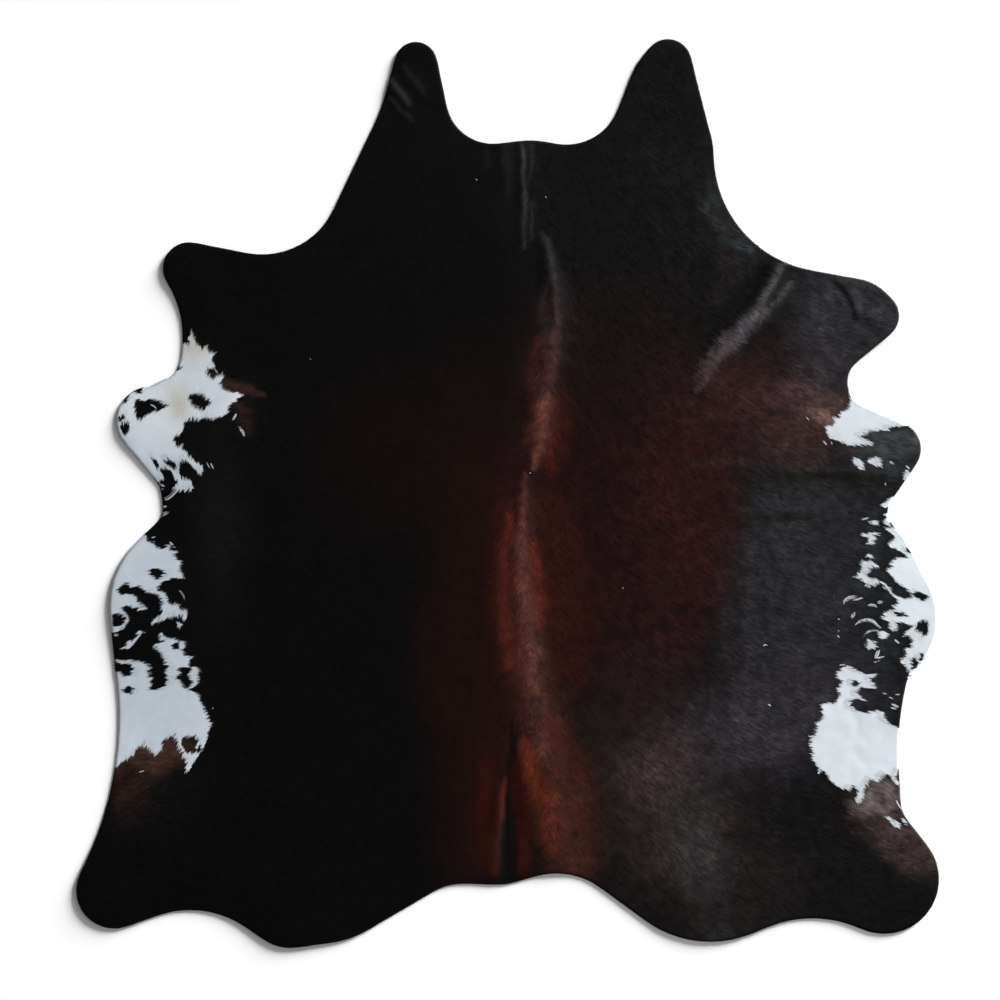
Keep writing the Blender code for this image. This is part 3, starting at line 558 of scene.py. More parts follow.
BANDS_AND_PAINTED_LIGHT = (
    # Painted highlights: pale grey lines down the neck where its creases catch the light
    Band("neck, pale", (27, 27, 27), 0.6, 1, ((-4, 849, 12), (-1, 789, 14.5), (1, 723, 9.5))),
    Band("neck, pale, second", (28, 28, 28), 0.5, 1, ((-52, 832, 9.5), (-47, 796, 9.5))),
    Band("neck, line", (45, 45, 45), 0.85, 1, (
        (35, 847, 4), (38, 784, 5.5), (40, 711, 6.5), (40, 643, 6.5), (42, 595, 4),
    )),
    Band("neck, second line", (32, 31, 31), 0.7, 1, ((59, 842, 7.5), (57, 796, 5), (55, 747, 4))),
    Band("neck, second line, lower", (33, 32, 32), 0.8, 1, ((57, 704, 5), (57, 658, 7.5), (59, 619, 5))),
    # Painted sheen along the ridge of the neck, grey and mauve
    Band("crest, neck", (32, 30, 31), 0.85, 1, (
        (84, 634, 5), (96, 614, 7.5), (101, 571, 12), (103, 529, 14.5), (103, 493, 14.5),
    )),
    Band("crest, neck, wide", (51, 41, 40), 0.9, 1.2, (
        (103, 508, 14.5), (101, 469, 22), (101, 416, 25.5), (101, 353, 24),
    )),
    Band("crest, neck, ridge", (46, 32, 31), 0.6, 1, (
        (118, 469, 7.5), (122, 433, 9.5), (122, 384, 14.5), (113, 348, 14.5),
    )),
    Band("crest, left of it", (58, 29, 26), 0.85, 1.2, (
        (76, 377, 9.5), (69, 328, 19.5), (64, 263, 19.5), (62, 190, 14.5), (47, 130, 12),
    )),
    Band("crest, right of it", (56, 20, 12), 0.85, 1, (
        (110, 231, 12), (118, 166, 22), (115, 105, 26.5), (105, 57, 19.5),
    )),
    Band("crest, far right of it", (42, 16, 14), 0.7, 1, (
        (132, 263, 14.5), (139, 178, 22), (137, 105, 19.5),
    )),
    # Red hair of the crest with a painted sheen over it, where the ridge catches the light
    Band("crest, upper", (64, 39, 38), 0.9, 1.2, (
        (108, 372, 17), (98, 323, 19.5), (91, 263, 22), (86, 202, 19.5),
    )),
    Band("crest, over the cowlick", (96, 53, 47), 0.9, 1, (
        (86, 214, 17), (81, 166, 17), (76, 105, 14.5), (64, 62, 7.5),
    )),
    Band("cowlick, left", (31, 17, 17), 0.8, 1, ((23, 110, 17), (11, 76, 24), (1, 42, 19.5))),
    Band("left of the back, glow", (41, 16, 13), 0.75, 1.3, (
        (-25, -45, 14.5), (-33, -161, 24), (-28, -282, 22),
    )),
    Band("back, left of the crest", (76, 30, 25), 0.85, 1, (
        (6, -52, 12), (-1, -125, 19.5), (-4, -234, 22), (1, -355, 19.5), (4, -416, 14.5),
    )),
    Band("back, right of the crest", (88, 33, 26), 0.8, 1, (
        (64, -125, 12), (74, -197, 17), (79, -258, 19.5), (76, -319, 14.5),
    )),
    Band("back, right", (45, 17, 14), 0.75, 1.2, (
        (103, -16, 34), (132, -161, 58), (139, -307, 63), (147, -423, 53.5),
    )),
    # The crest below the cowlick: red hair with a painted sheen along the ridge of the back
    Band("crest, under the cowlick", (68, 39, 36), 0.85, 1, (
        (42, 42, 7.5), (38, -16, 9.5), (33, -69, 9.5), (30, -125, 14.5),
    )),
    Band("crest, middle", (80, 46, 41), 0.9, 1.2, (
        (30, -101, 12), (35, -185, 19.5), (40, -258, 22), (45, -331, 24), (50, -391, 29),
    )),
    Band("crest, lower", (73, 42, 37), 0.85, 1.2, (
        (50, -379, 29), (57, -464, 36.5), (67, -537, 39), (79, -609, 41),
    )),
    Band("tail, right", (58, 27, 22), 0.8, 1, (
        (113, -573, 31.5), (151, -675, 53.5), (171, -779, 58), (161, -883, 48.5),
    )),
    Band("tail, orange", (98, 42, 28), 0.9, 1.2, (
        (35, -592, 7.5), (42, -626, 17), (62, -682, 29), (84, -735, 31.5),
    )),
    Band("tail, orange, lower", (72, 31, 21), 0.85, 1.2, (
        (84, -735, 31.5), (98, -779, 31.5), (105, -823, 29), (110, -864, 19.5),
    )),
    Band("tail, red", (47, 18, 14), 0.85, 1.2, (
        (25, -658, 12), (35, -743, 19.5), (45, -827, 24), (42, -907, 22),
    )),
    Band("tail, left", (46, 17, 13), 0.8, 1.2, ((-47, -658, 19.5), (-55, -779, 22), (-45, -893, 19.5))),
    # Painted shade: the dark line and hollow along the tail, the fold's shaded side
    Band("tail, dark line", (16, 11, 10), 0.85, 1, (
        (8, -554, 4.5), (6, -609, 5.5), (6, -682, 6), (1, -738, 7.5),
    )),
    Band("tail, hollow", (13, 13, 13), 0.95, 1.5, (
        (1, -731, 9.5), (1, -791, 19.5), (1, -864, 22), (1, -932, 22),
    )),
    # Brown hair with a painted highlight on the ridge beside the tail's hollow
    Band("tail, streak", (60, 22, 18), 0.8, 1.4, (
        (-1, -684, 4), (-8, -718, 9.5), (-16, -757, 12), (-23, -786, 7.5),
    )),
    Band("tail, streak, lower", (52, 26, 20), 0.8, 1.4, (
        (-25, -774, 7.5), (-33, -827, 12), (-30, -876, 14.5), (-33, -917, 9.5),
    )),
    # Painted shade in the trough beside the shoulder fold
    Band("shoulder, trough", (12, 12, 12), 0.9, 1, (
        (621, 546, 19.5), (592, 493, 29), (551, 440, 31.5), (505, 389, 29), (471, 343, 19.5),
    )),
    # Painted highlights on the shoulder fold's ridge and its branch
    Band("shoulder, line", (62, 62, 62), 0.9, 1, (
        (675, 563, 6), (655, 537, 8.5), (638, 503, 9.5), (617, 471, 12), (592, 442, 14.5),
        (568, 416, 14.5),
    )),
    Band("shoulder, second line", (58, 56, 59), 0.9, 1, (
        (684, 510, 6), (668, 483, 9.5), (643, 454, 12), (617, 428, 14.5), (592, 406, 14.5),
    )),
    Band("shoulder", (88, 81, 85), 0.9, 1.4, (
        (605, 437, 5), (588, 420, 12), (566, 394, 20.5), (537, 367, 22), (505, 336, 18),
    )),
    Band("shoulder, end", (68, 58, 57), 0.9, 1.2, (
        (505, 336, 18), (481, 304, 19.5), (464, 270, 15.5), (457, 251, 8.5),
    )),
    # Painted shade in the front leg's creases
    Band("leg right, crease", (9, 11, 13), 1, 1, (
        (796, 510, 8), (810, 493, 11.5), (827, 466, 11.5), (844, 425, 9.5),
    )),
    Band("leg right, second crease", (32, 36, 37), 0.7, 1, (
        (854, 498, 7.5), (873, 476, 7.5), (893, 454, 5),
    )),
    Band("leg right, dark", (24, 23, 23), 0.8, 1, ((859, 430, 9.5), (878, 411, 14.5), (903, 389, 12))),
    # Painted highlights: pale grey lines where the wrinkles right of the neck catch the light
    Band("neck right, pale", (42, 48, 46), 0.85, 1, ((491, 750, 9.5), (493, 721, 22), (481, 692, 17))),
    Band("neck right, pale, second", (42, 43, 43), 0.85, 1, (
        (498, 672, 9.5), (520, 655, 12), (546, 634, 9.5),
    )),
    Band("neck right, pale, third", (42, 46, 50), 0.85, 1, (
        (517, 619, 9.5), (544, 605, 12), (573, 619, 9.5),
    )),
    Band("neck right, pale, fourth", (44, 50, 53), 0.85, 1, (
        (559, 595, 9.5), (578, 597, 12), (590, 590, 7.5),
    )),
    Band("neck right, reddish", (31, 26, 26), 0.7, 1, (
        (534, 575, 22), (527, 517, 26.5), (510, 469, 19.5),
    )),
    # Painted highlights on the creases of the left neck point
    Band("neck left, pale", (44, 49, 47), 0.55, 1, ((-280, 1007, 5), (-265, 978, 7.5), (-236, 946, 7.5))),
    Band("neck left, pale, second", (38, 42, 41), 0.5, 1, (
        (-282, 958, 5), (-260, 929, 7.5), (-231, 910, 7.5),
    )),
    Band("neck left, pale, third", (34, 37, 36), 0.5, 1, (
        (-251, 1036, 5), (-227, 1002, 7.5), (-202, 970, 7.5),
    )),
    Band("flank right, over the fold", (46, 33, 32), 0.5, 1, (
        (442, 71, 9.5), (539, 76, 17), (660, 71, 17), (738, 74, 9.5),
    )),
    # Painted shade in the right flank's folds
    Band("flank right, upper fold", (16, 16, 13), 0.9, 1.2, (
        (672, 42, 5), (745, 40, 12), (818, 38, 17), (907, 38, 14.5),
    )),
    Band("flank right, upper fold, left", (28, 24, 21), 0.7, 1, (
        (575, 35, 5), (660, 40, 7.5), (738, 40, 7.5),
    )),
    Band("flank right, lower fold", (25, 22, 18), 0.8, 1, (
        (568, -55, 5), (648, -57, 9.5), (738, -57, 7.5),
    )),
    Band("belly left, brown", (48, 33, 29), 0.95, 1.2, (
        (-711, 287, 7.5), (-684, 273, 12), (-653, 256, 14.5), (-619, 248, 12), (-592, 239, 5),
    )),
    Band("belly left, dark brown", (38, 26, 24), 0.9, 1, (
        (-658, 222, 12), (-638, 197, 19.5), (-634, 159, 17),
    )),
)

WHITE_HAIR = (205, 211, 218)
WHITE_TINTS_AND_PAINTED_LIGHT = (
    # Painted shade: white hair darker on the left, away from the light
    Tint("left", -860, -100, 200, 700, 0, (178, 186, 195), 1.0, 3),
    Tint("left upper", -820, 210, 130, 150, 0, (193, 200, 206), 1.0, 2),
    # The white hair's own cream colour
    Tint("left upper, cream", -758, 338, 44, 40, 0, (177, 173, 166), 0.9, 1.3),
    Tint("left upper, cream, second", -780, 215, 38, 38, 0, (174, 173, 163), 0.9, 1.3),
    # Painted light: white hair lighter on the right, towards the light
    Tint("thigh right", 840, -590, 120, 160, 0, (209, 216, 222), 1.0, 2),
    Tint("belly right, middle", 960, -240, 90, 230, 0, (214, 221, 226), 1.0, 2),
    Tint("belly right, upper", 840, 180, 90, 60, 0, (211, 218, 223), 1.0, 2),
)

# Colours, bands and creases run unevenly, in waves of these sizes and heights
TINT_WAVES = (Waves(130, 26.0), Waves(45, 11.0), Waves(24, 4.0))
BAND_WAVES = (Waves(60, 4.0), Waves(22, 2.2))
WAVES_REACH = 1400.0  # how far from the hide's middle they are worked out

# How ruffled the dark hair is, from 0 to 1: smooth on the left, and more so in these places
SMOOTH_LEFT = 0.12
RUFFLED_RIGHT = 0.8
RUFFLED_FROM = (-60.0, 420.0)
RUFFLED_BACK = (70.0, 0.5)  # reach and amount along the line of the back
Rough = namedtuple("Rough", "name x y reach amount")
RUFFLED_PLACES = (
    Rough("brown, left", -870, -700, 120, 0.75),
    Rough("brown, right", 900, -790, 130, 0.35),
    Rough("belly left, brown", -640, 210, 60, 0.5),
)

# What breaks up the hair's colour: strands and locks, by their width and length, and blotches and
# clouds, with how far each swings the colour of smooth, of ruffled and of white hair
Shade = namedtuple("Shade", "size smooth ruffled white")
STRAND = Shade((2.6, 20.0), 0.6, 1.7, 0.05)
LOCK = Shade((7.5, 34.0), 0.4, 1.9, 0.06)
BLOTCH = Shade(30.0, 0.1, 2.8, 0.16)
CLOUD = Shade(105.0, 0.4, 1.8, 0.2)
STRAND_MIDDLE = (0.3, 0.7)  # where most of the strands' noise lies
EDGE_REACH = 1.6  # of single hairs over the edge of a patch
EDGE_SOFT = 0.7  # to each side of it, over which one colour turns into the other
MATT_SMOOTH = 0.42
MATT_RUFFLED = 0.66
MATT_STRAND = 0.05
HAIR_SHINE = 0.09
TUFT_MATT = 0.55
TUFT_FIBRE = 1.5
TUFT_SWING = 0.3
Bump = namedtuple("Bump", "height strength")
HAIR_BUMP = Bump(0.8, 0.4)
STRAND_BUMP = 0.5  # of the locks'
WHITE_BUMP = 0.2  # of the dark hair's

# Hair modelled as tufts: the number of places tried, and each tuft's least and greatest length and
# width
Tufts = namedtuple("Tufts", "tries length width")
EDGE_TUFTS = Tufts(180000, (6.0, 17.0), (0.9, 2.3))
EDGE_BAND = 13.0  # from a patch's edge to the furthest roots of its tufts
EDGE_NEAR = 0.5  # and to the nearest
EDGE_SHADE = (0.85, 1.1)
RIM_TUFTS = Tufts(9000, (6.0, 11.0), (0.9, 2.0))
RIM_ROOTS = (1.5, 6.5)  # from the cut edge
RIM_PAST = 2.6  # how far past the cut edge a tuft may reach
RIM_TURN = 0.5  # a tuft there is turned until about this share of it points outward
RIM_SHOWN = -0.25  # no tuft stands there where the hair points inward by more than this share
RUFFLED_TUFTS = Tufts(52000, (10.0, 22.0), (1.4, 3.0))
RUFFLED_POWER = 1.5  # the greater, the fewer of them in smooth hair
RUFFLED_CLEAR = 4.0  # from their tips to the cut edge
RUFFLED_SHADE = 0.22  # how unlike their shades are
TUFT_LIFT = (0.05, 0.32, 0.16)  # of root, middle and tip over the coat
TUFT_TAPER = 0.85  # its width at the middle, as a share of the root's
TUFT_BEND = 0.07  # sideways at the middle, as a share of the length
TUFT_STRAY = 9.0  # degrees off the way the hair lies
WISP_WIDTH = (0.63, 1.17)  # of a wisp's single hairs
WISP_HAIRS = 2.0  # for each millimetre of its half width
WISP_PIECE = 9.0  # greatest length of the tufts that a hair is made of
WISP_LEAST = (3, 2)  # hairs, and tufts in each
WISP_OVERLAP = 1.35  # a tuft's length, as a share of the step to the next one
WISP_STARTS = (0.0, 0.3)  # where hairs begin and end, as shares of the wisp's line
WISP_ENDS = (0.7, 1.0)
WISP_ROUND = (0.15, 0.7)  # of half a sine wave: its start and length, by which hairs part in the middle

FLESH = (0.56, 0.47, 0.38)
FLESH_PALE = (0.62, 0.56, 0.49)
FLESH_FADE = (0.4, 0.7)  # of the clouds' noise, from the first to the pale one
FLESH_CLOUD = 140.0
FLESH_SWING = 0.7
FLESH_MATT = 0.9
FLESH_SHINE = 0.2
NAP = 1.1
NAP_SWING = 0.5
NAP_BUMP = Bump(0.4, 0.6)
FLOOR = (1.0, 1.0, 1.0)
FLOOR_HALF = 16000.0
FLOOR_DROP = 0.3

# The camera, in metres: straight above, as the photo was taken
LENS = 85.0
SENSOR = 36.0
PICTURE_WIDTH = 2.423  # of floor across the picture
PICTURE_CENTRE = (-0.0182, -0.0157)

# The lights, in metres: a low soft sun, a soft box on the right and a pale sky round the horizon
KEY_FROM = (45.0, 12.0)  # degrees: from which side, anticlockwise from +X, and how high
KEY_STRENGTH = 11.2
KEY_SIZE = 20.0  # degrees across
SIDE_LIGHT = (3.4, -0.4, 3.6)
SIDE_POWER = 40.0
SIDE_SIZE = 2.4
SKY_TOP = 0.02
SKY_RIM = 0.75
SKY_FADE = (0.2, 0.75)  # heights in the sky between which it fades from rim to top


def smooth_curve(stations, values, at):
    """Values at other stations, on a smooth curve through the given ones."""
    stations, values = np.asarray(stations, float), np.asarray(values, float)
    if values.ndim == 1:
        return smooth_curve(stations, values[:, None], at)[:, 0]
    slopes = np.gradient(values, stations, axis=0)
    at = np.clip(at, stations[0], stations[-1])
    i = np.clip(np.searchsorted(stations, at) - 1, 0, len(stations) - 2)
    length = (stations[i + 1] - stations[i])[:, None]
    t = (at - stations[i])[:, None] / length
    return (
        (1 + 2 * t) * (1 - t) ** 2 * values[i]
        + t * (1 - t) ** 2 * length * slopes[i]
        + t**2 * (3 - 2 * t) * values[i + 1]
        + t**2 * (t - 1) * length * slopes[i + 1]
    )


def smooth_step(share):
    share = np.clip(share, 0, 1)
    return share * share * (3 - 2 * share)


def bell(away):
    """1 in the middle, and less the further away, as a share of the reach."""
    return np.exp(-(away**2))


def stations_of(points):
    """How far along the line through these points each of them lies."""
    return np.concatenate(([0], np.cumsum(np.hypot(*np.diff(points, axis=0).T))))


def unit(steps):
    return steps / np.hypot(*steps.T)[:, None]


def left_of(steps):
    return np.column_stack((-steps[:, 1], steps[:, 0]))


def own_axes(row, x, y):
    """Places as seen from a row's own middle, along its own turned axes."""
    turn = math.radians(row.turn)
    x, y = x - row.x, y - row.y
    return x * math.cos(turn) + y * math.sin(turn), y * math.cos(turn) - x * math.sin(turn)


def between(grid, i, j, u, v):
    """Values in cell i, j of a grid, a share u and v of the way to the next one."""
    return (
        grid[i, j] * (1 - u) * (1 - v)
        + grid[i + 1, j] * u * (1 - v)
        + grid[i, j + 1] * (1 - u) * v
        + grid[i + 1, j + 1] * u * v
    )


def soft_noise(x, y, size, seed):
    """Smooth random values from -1 to 1, which change over about this many millimetres."""
    count = math.ceil(2 * WAVES_REACH / size) + 2
    lattice = np.random.default_rng(seed).uniform(-1, 1, (count, count))
    u, v = (x + WAVES_REACH) / size, (y + WAVES_REACH) / size
    i, j = u.astype(int), v.astype(int)
    return between(lattice, i, j, smooth_step(u - i), smooth_step(v - j))


def wave_height(waves, x, y, seed):
    return sum(row.height * soft_noise(x, y, row.size, seed + k) for k, row in enumerate(waves))


def wavy(x, y, waves, seed):
    """These places moved about a little, so that what is laid out by them runs unevenly."""
    for k, row in enumerate(waves):
        moves = [row.height * soft_noise(x, y, row.size, seed + 2 * k + i) for i in (0, 1)]
        x, y = x + moves[0], y + moves[1]
    return x, y


def packed_hair_side():
    """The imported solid's upper faces, in millimetres, with points at one place made one."""
    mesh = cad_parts["hide"].data
    points = np.empty(len(mesh.vertices) * 3)
    mesh.vertices.foreach_get("co", points)
    points, index = np.unique((points.reshape(-1, 3) / MM).round(3), axis=0, return_inverse=True)
    index = index.ravel()
    faces = [
        [int(index[corner]) for corner in face.vertices]
        for face in mesh.polygons if face.normal.z > 0.5
    ]
    return points, faces


def edge_of(points, faces, step):
    """The hide's trimmed edge, anticlockwise, as points this far apart, and which way is out."""
    runs = {(a, b) for face in faces for a, b in zip(face, face[1:] + face[:1])}
    following = {a: b for a, b in runs if (b, a) not in runs}
    ring = [min(following)]
    while following[ring[-1]] != ring[0]:
        ring.append(following[ring[-1]])
    ring = points[ring][:, :2]
    overlap = 3  # points repeated at both ends, so that the curve closes smoothly
    wrapped = np.vstack((ring[-overlap:], ring, ring[:overlap + 1]))
    stations = stations_of(wrapped)
    first, last = stations[overlap], stations[overlap + len(ring)]
    at = np.linspace(first, last, round((last - first) / step), endpoint=False)
    even = smooth_curve(stations, wrapped, at)
    along = unit(np.roll(even, -1, axis=0) - np.roll(even, 1, axis=0))
    return even, -left_of(along)


class Edge:
    """The hide's trimmed edge, which tells how deep inside it a place lies."""

    def __init__(self, ring, outward):
        self.ring, self.outward = ring, outward
        self.tree = kdtree.KDTree(len(ring))
        for i, point in enumerate(ring):
            self.tree.insert((*point, 0), i)
        self.tree.balance()

    def depth(self, x, y):
        nearest = [self.tree.find((a, b, 0))[1] for a, b in zip(x, y)]
        away = np.column_stack((x, y)) - self.ring[nearest]
        return -(away * self.outward[nearest]).sum(1)


class Relief:
    """How far the hide is raised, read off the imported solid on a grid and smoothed."""

    def __init__(self, points, faces):
        solid = BVHTree.FromPolygons([tuple(p) for p in points], faces)
        self.low = points.min(0)[:2] - GRID_MARGIN
        shape = np.ceil((points.max(0)[:2] + GRID_MARGIN - self.low) / GRID).astype(int) + 1
        above, down = points[:, 2].max() + 10, Vector((0, 0, -1))
        raised = np.full(shape, np.nan)
        for i, j in np.ndindex(*shape):
            start = (self.low[0] + i * GRID, self.low[1] + j * GRID, above)
            hit = solid.ray_cast(start, down)[0]
            if hit is not None:
                raised[i, j] = hit.z - FLAT_TOP
        self.raised = self.blurred(self.filled_outward(self.without_rim(raised)))

    @staticmethod
    def neighbours(field):
        wide = np.pad(field, 1, constant_values=np.nan)
        size = field.shape
        return np.array([
            wide[i:i + size[0], j:j + size[1]] for i in range(3) for j in range(3)
        ])

    def without_rim(self, field):
        """The solid is thinner in the last two cells before the edge, so those are left out."""
        for _ in range(2):
            bare = np.isnan(self.neighbours(field)).any(0)
            field = np.where(bare, np.nan, field)
        return field

    def filled_outward(self, field):
        while np.isnan(field).any():
            around = self.neighbours(field)
            known = ~np.isnan(around)
            mean = np.where(known, around, 0).sum(0) / np.maximum(known.sum(0), 1)
            field = np.where(np.isnan(field) & known.any(0), mean, field)
        return field

    @staticmethod
    def blurred(field):
        reach = np.arange(-GRID_BLUR, GRID_BLUR + 1) * GRID
        weights = np.exp(-(reach / GRID_SMOOTH) ** 2 / 2)
        weights /= weights.sum()
        for axis in (0, 1):
            margins = [(0, 0), (0, 0)]
            margins[axis] = (GRID_BLUR, GRID_BLUR)
            wide = np.pad(field, margins, mode="edge")
            field = sum(
                weight * np.take(wide, np.arange(k, k + field.shape[axis]), axis)
                for k, weight in enumerate(weights)
            )
        return field

    def at(self, x, y):
        u, v = (x - self.low[0]) / GRID, (y - self.low[1]) / GRID
        i = np.clip(u.astype(int), 0, self.raised.shape[0] - 2)
        j = np.clip(v.astype(int), 0, self.raised.shape[1] - 2)
        return between(self.raised, i, j, u - i, v - j)


class Surface:
    """The coat's upper side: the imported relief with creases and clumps, and the rounded rim."""

    def __init__(self, edge, relief):
        self.edge, self.relief = edge, relief

    def height(self, x, y, depth=None):
        """Millimetres over the floor. depth is how far inside the cut edge, where it is known."""
        if depth is None:
            depth = self.edge.depth(x, y)
        raised = self.relief.at(x, y)
        under = np.maximum(0, raised - BEDDING)
        rows = np.array(RIM)
        profile = np.interp(depth, -rows[:, 0], rows[:, 1])
        detail = fine_relief(x, y) + wave_height(CLUMPS, x, y, SEED) * ruffled(x, y)
        top = under + profile + (np.minimum(raised, BEDDING) + detail) * profile / FLAT_TOP
        return np.maximum(top, under + np.minimum(profile, LEAST))


def back_x(y):
    rows = np.array(BACK, float)[::-1]
    return smooth_curve(rows[:, 0], rows[:, 1], y)


def beside(points, x, y):
    """Distance from a line through some points, on which side, and how far along, from 0 to 1."""
    nearest = np.full(x.shape, np.inf)
    side, share_along = np.zeros(x.shape), np.zeros(x.shape)
    corners = np.array(points, float)
    stations = stations_of(corners)
    for start, (ax, ay), (bx, by) in zip(stations, corners[:-1], corners[1:]):
        length = math.hypot(bx - ax, by - ay)
        dx, dy = (bx - ax) / length, (by - ay) / length
        along = np.clip((x - ax) * dx + (y - ay) * dy, 0, length)
        away = np.hypot(x - ax - along * dx, y - ay - along * dy)
        closer = away < nearest
        nearest = np.where(closer, away, nearest)
        side = np.where(closer, np.sign((y - ay) * dx - (x - ax) * dy), side)
        share_along = np.where(closer, (start + along) / stations[-1], share_along)
    return nearest, side, share_along


def fine_relief(x, y):
    """What the creases add to the relief, in millimetres."""
    total = np.zeros(x.shape)
    x, y = wavy(x, y, BAND_WAVES, BAND_SEED)
    for crease in CREASES:
        away, side, along = beside(crease.points, x, y)
        width = np.where(side > 0, crease.left, crease.right)
        taper = np.sin(math.pi * np.clip(along, 0, 1)) ** CREASE_FADE
        total += crease.height * taper * bell(away / width)
    return total


def ruffled(x, y):
    """How ruffled the hair is at each place, from 0 to 1."""
    share = smooth_step((x - RUFFLED_FROM[0]) / (RUFFLED_FROM[1] - RUFFLED_FROM[0]))
    total = SMOOTH_LEFT + (RUFFLED_RIGHT - SMOOTH_LEFT) * share
    reach, amount = RUFFLED_BACK
    total += amount * bell((x - back_x(y)) / reach)
    for row in RUFFLED_PLACES:
        total += row.amount * bell(np.hypot(x - row.x, y - row.y) / row.reach)
    return np.minimum(total, 1)


def patch_depth(patch, x, y):
    """How far inside the patch's outline each place lies, negative outside it."""
    nearest, inside = np.full(x.shape, np.inf), np.zeros(x.shape, bool)
    corners = np.array(patch.points, float)
    for (ax, ay), (bx, by) in zip(corners, np.roll(corners, -1, axis=0)):
        dx, dy = bx - ax, by - ay
        share = np.clip(((x - ax) * dx + (y - ay) * dy) / (dx * dx + dy * dy), 0, 1)
        nearest = np.minimum(nearest, np.hypot(x - ax - share * dx, y - ay - share * dy))
        if ay != by:
            inside ^= ((ay > y) != (by > y)) & (x < dx * (y - ay) / dy + ax)
    return np.where(inside, nearest, -nearest)


def spot_depth(spot, x, y):
    u, v = own_axes(spot, x, y)
    return (1 - np.hypot(u / spot.half_length, v / spot.half_width)) * spot.half_width


def whiteness(x, y):
    """How far each place lies inside the white hair, negative in the dark, kept within FAR."""
    depth = np.full(x.shape, -FAR)
    for row in PATCHES + SPOTS:
        if isinstance(row, Patch):
            depth_inside, corners = patch_depth, np.array(row.points)
        else:
            across = row.half_length * np.array(((-1, -1), (1, 1)))
            depth_inside, corners = spot_depth, (row.x, row.y) + across
        low, high = corners.min(0) - FAR, corners.max(0) + FAR
        near = (x > low[0]) & (x < high[0]) & (y > low[1]) & (y < high[1])
        inside = row.colour * depth_inside(row, x[near], y[near])
        lay_over = np.maximum if row.colour == WHITE else np.minimum
        depth[near] = lay_over(depth[near], inside)
    return np.clip(depth, -FAR, FAR)


def hair_field(x, y):
    """A field that is level along the hair, and one that grows along it."""
    out = np.abs(x - back_x(y))
    across = y + HAIR_TURN * (1 - np.exp(-out / HAIR_REACH))
    across += wave_height(HAIR_WAVES, x, y, HAIR_SEED)
    return across, out - HAIR_SLANT * y


def hair_direction(x, y):
    """The way in which the lying hair points, as unit steps."""
    out = x - back_x(y)
    slope = -HAIR_TURN / HAIR_REACH * np.exp(-np.abs(out) / HAIR_REACH)
    steps = unit(np.column_stack((np.where(out < 0, -1.0, 1.0), slope)))
    for comb in COMBS:
        pull = COMB_PULL * bell(np.hypot(x - comb.x, y - comb.y) / comb.reach)
        angle = math.radians(comb.angle)
        steps += pull[:, None] * np.array((math.cos(angle), math.sin(angle)))
    return unit(steps)


def linear(colour):
    """Bytes of a picture as amounts of light."""
    share = np.array(colour, float) / 255
    return np.where(share < 0.04045, share / 12.92, ((share + 0.055) / 1.055) ** 2.4)


def tinted(colour, tints, x, y):
    """This colour with soft tints over it, at each place, painted light and shade among them."""
    found = np.tile(linear(colour), (len(x), 1))
    x, y = wavy(x, y, TINT_WAVES, TINT_SEED)
    for tint in tints:
        u, v = own_axes(tint, x, y)
        away = (u / tint.half_width) ** 2 + (v / tint.half_length) ** 2
        share = (tint.strength * np.exp(-(away**tint.edge)))[:, None]
        found += share * (linear(tint.colour) - found)
    return found


def band_share(band, x, y):
    """How much of a band's colour, or of its painted highlight or painted shade, shows at each place."""
    rows = np.array(band.points, float)
    line, half_widths = rows[:, :2], rows[:, 2]
    away, _, along = beside(line, x, y)
    stations = stations_of(line)
    half_width = np.interp(along * stations[-1], stations, half_widths)
    return band.strength * np.exp(-((away / half_width) ** (2 * band.edge)))


def dark_colour_and_painted_light(x, y):
    found = tinted(BLACK, TINTS_AND_SHEEN, x, y)
    x, y = wavy(x, y, BAND_WAVES, BAND_SEED)
    for band in BANDS_AND_PAINTED_LIGHT:
        without_gloss = np.maximum(linear(band.colour) - HAIR_GLOSS, DARKEST)
        found += band_share(band, x, y)[:, None] * (without_gloss - found)
    return found


def white_colour_and_painted_light(x, y):
    return tinted(WHITE_HAIR, WHITE_TINTS_AND_PAINTED_LIGHT, x, y)


def hair_colour_and_painted_light(x, y, white):
    return np.where(white[:, None], white_colour_and_painted_light(x, y), dark_colour_and_painted_light(x, y))


def detailed(x, y):
    """Where the coat has creases or bands, or the ridge of the back, that need closer points."""
    found = np.abs(x - back_x(y)) < BACK_DETAIL
    for crease in CREASES:
        found |= beside(crease.points, x, y)[0] < CREASE_DETAIL * max(crease.left, crease.right)
    for band in BANDS_AND_PAINTED_LIGHT:
        found |= band_share(band, x, y) > BAND_DETAIL
    return found


def triangle_grid(low, high, step):
    rows = np.arange(low[1], high[1], step * math.sqrt(3) / 2)
    columns = np.arange(low[0], high[0], step)
    x = np.concatenate([columns + 0.5 * step * (i % 2) for i in range(len(rows))])
    return x, np.repeat(rows, len(columns))


def patch_boxes(margin):
    """The boxes round the patches on the left and on the right."""
    rows = [np.array(row.points) for row in PATCHES]
    for side in (-1, 1):
        corners = np.vstack([row for row in rows if row[:, 0].mean() * side > 0])
        yield corners.min(0) - margin, corners.max(0) + margin


